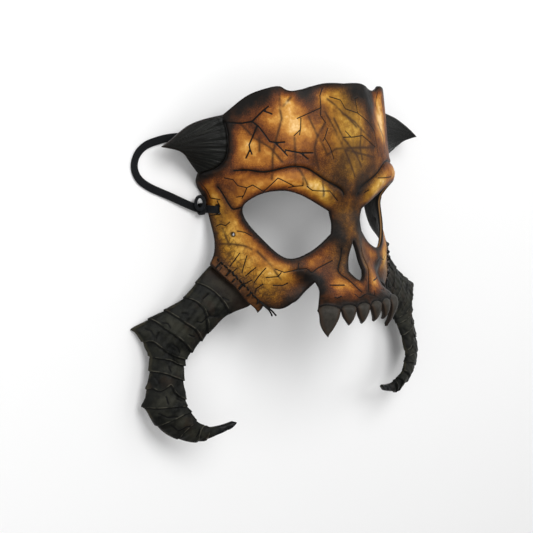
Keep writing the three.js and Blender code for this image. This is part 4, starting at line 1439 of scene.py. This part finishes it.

# %% [markdown]
# The horn leather is charcoal black, and brown in patches and near the root. A warm grey highlight is
# painted in the middle of the plates, in patches. The lips catch the light, painted as a lighter grey, a
# shadow is painted in the groove behind each lip, the small cuts are inked, and a highlight is painted
# along the cut edge in places.

# %% Make the horn leather
charcoal = Paint("charcoal horn leather")
horn_read = {name: charcoal.read(name) for name in (
    "since_lip", "until_lip", "cut_mm", "edge_mm", "plate_tone", "mid_plate", "along", "front")}
patch = charcoal.noise(11, 4.0, 0.6)
fibre = charcoal.noise(2.2, 4.0, 0.6, warp=0.8)
shade = charcoal.plus(charcoal.times(patch, 0.75), charcoal.times(fibre, 0.35))
shade = charcoal.plus(shade, charcoal.times(horn_read["plate_tone"], 0.12))
black = charcoal.ramp(shade, [(0.32, "020302"), (0.5, "060705"), (0.62, "0E0F0C"), (0.78, "1C1D17")])
# Painted highlight: a warm grey in the middle of the plates, in patches.
mid_plate_highlight = charcoal.times(horn_read["mid_plate"], charcoal.fade(patch, 0.34, 0.66))
black = charcoal.mix(charcoal.times(mid_plate_highlight, 0.5), black, hue("36352C"))
brown_share = charcoal.times(charcoal.fade(charcoal.noise(15, 3.0, 0.55), 0.54, 0.72), 0.5)
black = charcoal.mix(brown_share, black, hue("281E16"))
root_red = charcoal.times(charcoal.fade(horn_read["along"], 0.12, 0.04), 0.35)
black = charcoal.mix(root_red, black, hue("2C1D14"))
# Painted highlight where the lips catch the light.
lip_light = charcoal.times(charcoal.fade(horn_read["until_lip"], 0.9, 0.3),
                          charcoal.fade(charcoal.noise(6, 2.0), 0.4, 0.62))
black = charcoal.mix(charcoal.times(lip_light, 0.4), black, hue("605D50"))
# Painted shadow in the groove behind each lip, and ink in the small cuts.
lip_shadow_and_cut_ink = charcoal.larger(charcoal.fade(horn_read["since_lip"], 1.5, 0.8),
                       charcoal.fade(horn_read["cut_mm"], 0.7, 0.35))
black = charcoal.mix(charcoal.times(lip_shadow_and_cut_ink, horn_read["front"]), black, hue("040404"))
# Painted highlight along the cut edge, in places, where it catches the light.
edge_highlight = charcoal.times(charcoal.fade(horn_read["edge_mm"], 0.9, 0.2), 0.45)
black = charcoal.mix(charcoal.times(edge_highlight, charcoal.fade(patch, 0.45, 0.6)), black, hue("3C382A"))
tip_share = charcoal.fade(horn_read["along"], 0.86, 0.93)
black = charcoal.mix(charcoal.times(tip_share, 0.7), black, hue("0E1113"))
hide = charcoal.plus(charcoal.noise(1.0, 4.0, 0.6), charcoal.times(charcoal.cells(1.3), 0.5))
rough_hide = charcoal.bump(charcoal.noise(5, 3.0, 0.55, warp=1.2), 0.45, 0.55)
rough_hide = charcoal.bump(fibre, 0.22, 0.5, under=rough_hide)
rough_hide = charcoal.bump(hide, 0.14, 0.6, under=rough_hide)
sheen = charcoal.plus(0.42, charcoal.times(patch, 0.2))
sheen = charcoal.minus(sheen, charcoal.times(tip_share, 0.2))
charcoal.shader.inputs["Specular IOR Level"].default_value = 0.11
charcoal.finish(jaw_horns[0], Base_Color=black, Roughness=sheen, Normal=rough_hide)
jaw_horns[1].data.materials.append(charcoal.material)
print("horn leather made of", len(charcoal.tree.nodes), "nodes")

# %% [markdown]
# ## Hand stitching
# The cheek flange is sewn to the horn with black waxed thread. Each stitch is short, crooked and pulled into
# its holes, and the two cut ends hang over the lower corner. Stitches repeat along a line, so Geometry Nodes
# make them: the line is resampled at the stitch spacing, one bent stitch stands on each point, turned with
# the seam and the leather, and a seeded random number makes it crooked.

# %% Draw the seam and the tails
TAILS = [[(83.4, -55.5), (82.4, -59), (80.4, -62.3), (78.8, -64.6), (77.5, -66)],
         [(83.4, -55.5), (83, -59.6), (81.8, -62.6), (80.6, -65.8)]]
TICKS = [[(106.4, -31.4), (103.2, -28.6)], [(99.8, -36.6), (97.2, -34.2)], [(94.6, -46), (91, -43)],
         [(90.4, -51.4), (86.6, -49.2)], [(97.6, -41.4), (95, -39.4)], [(87, -57.6), (83.6, -54.6)]]
STITCH_LENGTH = 2.9
THREAD_THICK = 1.3
STITCH_SEED = 11


def thread_lines(side):
    """Vertices, edges, which are stitched, and the leather's outward direction at each vertex."""
    points, links, stitched, outward = [], [], [], []
    jobs = [(SEAM, 1, lambda t: 0.25)]
    jobs += [(tail, 0, lambda t, k=k: 0.7 + (1.2 + 1.1 * k) * t) for k, tail in enumerate(TAILS)]
    jobs += [(tick, 0, lambda t: 0.1 + 1.2 * math.sin(math.pi * t)) for tick in TICKS]
    for line, sewn, lift in jobs:
        run = smooth_line([(side * u, v) for u, v in line], 0.8)
        first = len(points)
        share = np.linspace(0, 1, len(run))
        lifts = np.array([lift(t) for t in share])
        points.extend(on_sheet(run[:, 0], run[:, 1], lifts) * MM)
        outward.extend(sheet_normal(run[:, 0], run[:, 1]))
        stitched.extend([sewn] * len(run))
        links.extend((first + k, first + k + 1) for k in range(len(run) - 1))
    return points, links, stitched, outward


print("seam", round(line_length(smooth_line(SEAM, 1.0))), "mm,", len(TICKS), "loose ticks")

# %% Wax the thread
wax = Paint("waxed black thread")
wax.feed(wax.shader.inputs["Base Color"], wax.mix(wax.noise(0.8, 3.0), hue("030303"), hue("0E0C0A")))
wax.feed(wax.shader.inputs["Roughness"], wax.plus(0.36, wax.times(wax.noise(1.5), 0.3)))
wax.feed(wax.shader.inputs["Normal"], wax.bump(wax.noise(0.5, 3.0), 0.2, 0.7))
wax.shader.inputs["Specular IOR Level"].default_value = 0.15
print("wax made of", len(wax.tree.nodes), "nodes")

# %% Build the stitching tree
CROOK = (0.1, 0.08, 0.5)
SHORTEST, LONGEST = (0.6, 0.8, 0.8), (1.2, 1.2, 1.2)
tree = bpy.data.node_groups.new("hand stitching", "GeometryNodeTree")
for name, kind, value in (("Geometry", "NodeSocketGeometry", None), ("Spacing", "NodeSocketFloat", 3.0),
                          ("Length", "NodeSocketFloat", 2.5), ("Thickness", "NodeSocketFloat", 0.8),
                          ("Seed", "NodeSocketInt", 7), ("Thread", "NodeSocketMaterial", None)):
    socket = tree.interface.new_socket(name, in_out="INPUT", socket_type=kind)
    if value is not None:
        socket.default_value = value
tree.interface.new_socket("Geometry", in_out="OUTPUT", socket_type="NodeSocketGeometry")


def node(kind, inputs=None, **settings):
    made = tree.nodes.new(kind)
    for key, value in settings.items():
        setattr(made, key, value)
    for key, value in (inputs or {}).items():
        if isinstance(value, bpy.types.NodeSocket):
            tree.links.new(value, made.inputs[key])
        else:
            made.inputs[key].default_value = value
    return made


def result(kind, inputs=None, **settings):
    """Add a node and hand back its first output."""
    return node(kind, inputs, **settings).outputs[0]


def scaled(value, factor):
    return result("ShaderNodeMath", {0: value, 1: factor}, operation="MULTIPLY")


given = node("NodeGroupInput").outputs
stitched = result("GeometryNodeInputNamedAttribute", {"Name": "stitched"}, data_type="FLOAT")
parts = node("GeometryNodeSeparateGeometry", {0: given["Geometry"], 1: stitched}, domain="POINT").outputs
seam_curve = result("GeometryNodeMeshToCurve", {0: parts["Selection"]})
seam_points = result("GeometryNodeResampleCurve", {"Curve": seam_curve, "Length": given["Spacing"]},
                     mode="LENGTH")
outward = result("GeometryNodeInputNamedAttribute", {"Name": "outward"}, data_type="FLOAT_VECTOR")
tangent = result("GeometryNodeInputTangent")
turn = result("FunctionNodeAxesToRotation", {0: outward, 1: tangent}, primary_axis="Z", secondary_axis="X")
crook = result("FunctionNodeRandomValue", {"Min": tuple(-angle for angle in CROOK), "Max": CROOK,
                                           "Seed": given["Seed"]}, data_type="FLOAT_VECTOR")
turn = result("FunctionNodeRotateRotation", {0: turn, 1: crook}, rotation_space="LOCAL")
stretch = result("FunctionNodeRandomValue", {"Min": SHORTEST, "Max": LONGEST, "Seed": given["Seed"]},
                 data_type="FLOAT_VECTOR")
half = scaled(given["Length"], 0.5)
minus = scaled(half, -1.0)
sink = scaled(given["Thickness"], -0.5)
rise = scaled(given["Thickness"], 0.9)
left_end = result("ShaderNodeCombineXYZ", {0: minus, 2: sink})
right_end = result("ShaderNodeCombineXYZ", {0: half, 2: sink})
top = result("ShaderNodeCombineXYZ", {2: rise})
bow = result("GeometryNodeCurveQuadraticBezier", {"Resolution": 6, "Start": left_end, "Middle": top,
                                                  "End": right_end})
radius = scaled(given["Thickness"], 0.5)
profile = result("GeometryNodeCurvePrimitiveCircle", {"Resolution": 8, "Radius": radius})
stitch = result("GeometryNodeCurveToMesh", {0: bow, "Profile Curve": profile, "Fill Caps": True})
row = result("GeometryNodeInstanceOnPoints", {"Points": seam_points, "Instance": stitch,
                                              "Rotation": turn, "Scale": stretch})
loose_curve = result("GeometryNodeMeshToCurve", {0: parts["Inverted"]})
loose = result("GeometryNodeCurveToMesh", {0: loose_curve, "Profile Curve": profile, "Fill Caps": True})
both = node("GeometryNodeJoinGeometry")
tree.links.new(row, both.inputs[0])
tree.links.new(loose, both.inputs[0])
real = result("GeometryNodeRealizeInstances", {0: both.outputs[0]})
round_off = result("GeometryNodeSetShadeSmooth", {0: real})
coated = result("GeometryNodeSetMaterial", {0: round_off, "Material": given["Thread"]})
node("NodeGroupOutput", {0: coated})
print("stitching tree has", len(tree.nodes), "nodes")

# %% Sew both cheeks
for side, name, replaced in ((1, "seam.left", "seam_thread_left"), (-1, "seam.right", "seam_thread_right")):
    points, links, sewn, leans = thread_lines(side)
    guide = new_piece(name + ".line", points, [], links)
    store(guide, "stitched", sewn)
    up = guide.data.attributes.new("outward", "FLOAT_VECTOR", "POINT")
    up.data.foreach_set("vector", np.asarray(leans, dtype=np.float32).ravel())
    sewing = guide.modifiers.new("stitches", "NODES")
    sewing.node_group = tree
    wanted = {"Spacing": STITCH_SPACING * MM, "Length": STITCH_LENGTH * MM, "Thickness": THREAD_THICK * MM,
              "Seed": STITCH_SEED + side, "Thread": wax.material}
    for socket in tree.interface.items_tree:
        if socket.in_out == "INPUT" and socket.name in wanted:
            sewing[socket.identifier] = wanted[socket.name]
    made = bpy.data.meshes.new_from_object(guide.evaluated_get(bpy.context.evaluated_depsgraph_get()))
    made.name = name
    seam = into_scene(name, made)
    guide.modifiers.remove(sewing)
    bpy.data.objects.remove(guide)
    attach(seam, "root")
    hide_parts(replaced)
    print(name, len(made.polygons), "faces")

# %% [markdown]
# ## The strap's ends
# At each temple the elastic goes through its slot, folds back round the leather's edge and is tied off in a
# small knot. The band is one closed flat ribbon in the plane that crosses the edge. The knot is the elastic
# turned once round itself: a little standing loop with a wrap at its foot.

# %% Helpers for the strap's ends
BAND_STEP = 0.7
BAND_CORNER = 0.3
BAND_CROWN = 1.12
BAND_BEND = 1.4
SLOT_BAND = {"from": 104.9, "to": 118.35, "half_high": 3.4}
KNOT_LOOP = {"centre": (91.4, 14.4, 6.6), "radii": (3.1, 4.6), "width": 3.6, "thick": 2.2}
KNOT_WRAP = {"centre": (88.4, 9.6, 4.4), "radii": (3.7, 2.4), "width": 4.6, "thick": 1.4}
UP_THE_FACE = np.array([0, 1, 0])


def round_corners(half_long, half_high, radius, steps=5):
    """A long ring with round corners, as a list of points."""
    corners = [(1, 1, 0), (-1, 1, 90), (-1, -1, 180), (1, -1, 270)]
    ring = []
    for sx, sy, start in corners:
        for k in range(steps + 1):
            angle = math.radians(start + 90 * k / steps)
            ring.append((sx * (half_long - radius) + radius * math.cos(angle),
                         sy * (half_high - radius) + radius * math.sin(angle)))
    return ring


def closed_band(name, ring, centre, right, up, width, thick):
    """A flat closed band: ring is its outline in the right-up plane, and its width crosses that plane."""
    flat = smooth_line(np.asarray(ring + ring[:1]), BAND_STEP)[:-1]
    ahead = unit(np.roll(flat, -1, axis=0) - np.roll(flat, 1, axis=0))
    plane = np.array([right, up])
    out = np.stack([ahead[:, 1], -ahead[:, 0]], axis=1) @ plane
    across = np.broadcast_to(np.cross(right, up), out.shape)
    section = band_section(width, thick, BAND_CORNER, [(0, -thick / 2)], [(0, thick / 2 * BAND_CROWN)])
    return sweep(name, centre + flat @ plane, across, out, section, closed=True)


def oval(half_long, half_high, sides=14):
    angles = [math.tau * k / sides for k in range(sides)]
    return [(half_long * math.cos(angle), half_high * math.sin(angle)) for angle in angles]


def knot_part(name, sizes, side, right, up):
    x, y, z = sizes["centre"]
    centre = np.array([side * x, y + FACE_SHIFT, z])
    return closed_band(name, oval(*sizes["radii"]), centre, right, up, sizes["width"], sizes["thick"])


def join_pieces(name, pieces):
    whole = bmesh.new()
    for piece in pieces:
        whole.from_mesh(piece.data)
    bmesh.ops.recalc_face_normals(whole, faces=whole.faces)
    mesh = bpy.data.meshes.new(name)
    whole.to_mesh(mesh)
    whole.free()
    mesh.polygons.foreach_set("use_smooth", [True] * len(mesh.polygons))
    for piece in pieces:
        bpy.data.objects.remove(piece)
    return into_scene(name, mesh)


print("the band turns its corners at", BAND_BEND, "mm; the knot is", 2 * KNOT_LOOP["radii"][1], "mm tall")

# %% Fold the strap through its slots and tie it
strap_ends = []
for side, name, replaced in ((1, "strap_end.left", "strap_loop_left"),
                             (-1, "strap_end.right", "strap_loop_right")):
    v = np.array([SLOT["v"]])
    middle = np.array([side * (SLOT_BAND["from"] + SLOT_BAND["to"]) / 2])
    right = unit((on_sheet(middle + 1, v) - on_sheet(middle - 1, v))[0])
    up = sheet_normal(middle, v)[0]
    centre = on_sheet(middle, v, -FACE_LEATHER / 2)[0]
    half_long = (SLOT_BAND["to"] - SLOT_BAND["from"]) / 2 - STRAP_THICK / 2
    half_high = SLOT_BAND["half_high"] - STRAP_THICK / 2
    band = closed_band(name + ".band", round_corners(half_long, half_high, BAND_BEND), centre, right, up,
                       STRAP_WIDTH, STRAP_THICK)
    standing = knot_part(name + ".loop", KNOT_LOOP, side, unit(np.array([-side, 0, 1])), UP_THE_FACE)
    wrap = knot_part(name + ".wrap", KNOT_WRAP, side, UP_THE_FACE, np.array([0, 0, 1]))
    end = join_pieces(name, [band, standing, wrap])
    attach(end, "root")
    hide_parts(replaced)
    strap_ends.append(end)
print("strap ends:", [len(end.data.polygons) for end in strap_ends], "faces")

# %% [markdown]
# The elastic is woven: fine ribs run along it with a rubber thread in each, and the weft crosses them. The
# pattern reads the millimetres along and across the band, so that it follows every bend.

# %% Weave the elastic
RIB_WIDTH = 0.75
WEFT_WIDTH = 0.6
elastic = Paint("woven elastic")
along = elastic.read("along_mm")
across = elastic.read("across_mm")
rib_wave = elastic.math("SINE", elastic.times(across, math.tau / RIB_WIDTH))
weft_wave = elastic.math("SINE", elastic.times(along, math.tau / WEFT_WIDTH))
rib_height = elastic.times(elastic.plus(rib_wave, 1.0), 0.5)
weft_height = elastic.times(elastic.plus(weft_wave, 1.0), 0.5)
weave = elastic.plus(elastic.times(rib_height, 0.65), elastic.times(weft_height, 0.35))
worn = elastic.noise(6, 3.0)
tone = elastic.mix(elastic.times(weave, elastic.plus(worn, 0.3)), hue("030304"), hue("15181C"))
elastic.finish(strap, Base_Color=tone, Roughness=elastic.plus(0.48, elastic.times(worn, 0.2)),
               Normal=elastic.bump(weave, 0.18, 0.8))
elastic.shader.inputs["Specular IOR Level"].default_value = 0.12
elastic.shader.inputs["Sheen Weight"].default_value = 0.05
for end in strap_ends:
    end.data.materials.append(elastic.material)
print("elastic woven")

# %% [markdown]
# ## Floor and light
# A pale floor and large soft lamps stand in for a photographer's white table and light tent.

# %% Lay the floor and hang the lamps
FLOOR_HALF = 3
floor_corners = [(x * FLOOR_HALF, y * FLOOR_HALF, 0) for x, y in ((-1, -1), (1, -1), (1, 1), (-1, 1))]
floor = new_piece("floor", floor_corners, [(0, 1, 2, 3)], smooth=False)
card = Paint("white card")
card.finish(floor, Base_Color=hue("F2F2F2"), Roughness=0.9)


def lamp(name, place, aim, size, power):
    light = bpy.data.lights.new(name, "AREA")
    light.shape = "DISK"
    light.size = size
    light.energy = power
    hung = into_scene(name, light)
    hung.location = place
    hung.rotation_euler = (Vector(aim) - Vector(place)).to_track_quat("-Z", "Y").to_euler()


lamp("tent", (-0.2, 0.9, 1.3), aim=(0, 0.02, 0), size=1.1, power=17)
lamp("side", (-1.2, 0.1, 0.7), aim=(0, 0.02, 0), size=0.9, power=4.5)
lamp("far side", (1.0, 0.2, 0.9), aim=(0, 0, 0), size=0.9, power=4.5)
world = bpy.data.worlds.new("room")
world.use_nodes = True
world.node_tree.nodes["Background"].inputs["Color"].default_value = hue("FFFFFF")
world.node_tree.nodes["Background"].inputs["Strength"].default_value = 0.4
bpy.context.scene.world = world
bpy.context.scene.view_settings.view_transform = "Standard"
print("three lamps and a white room")
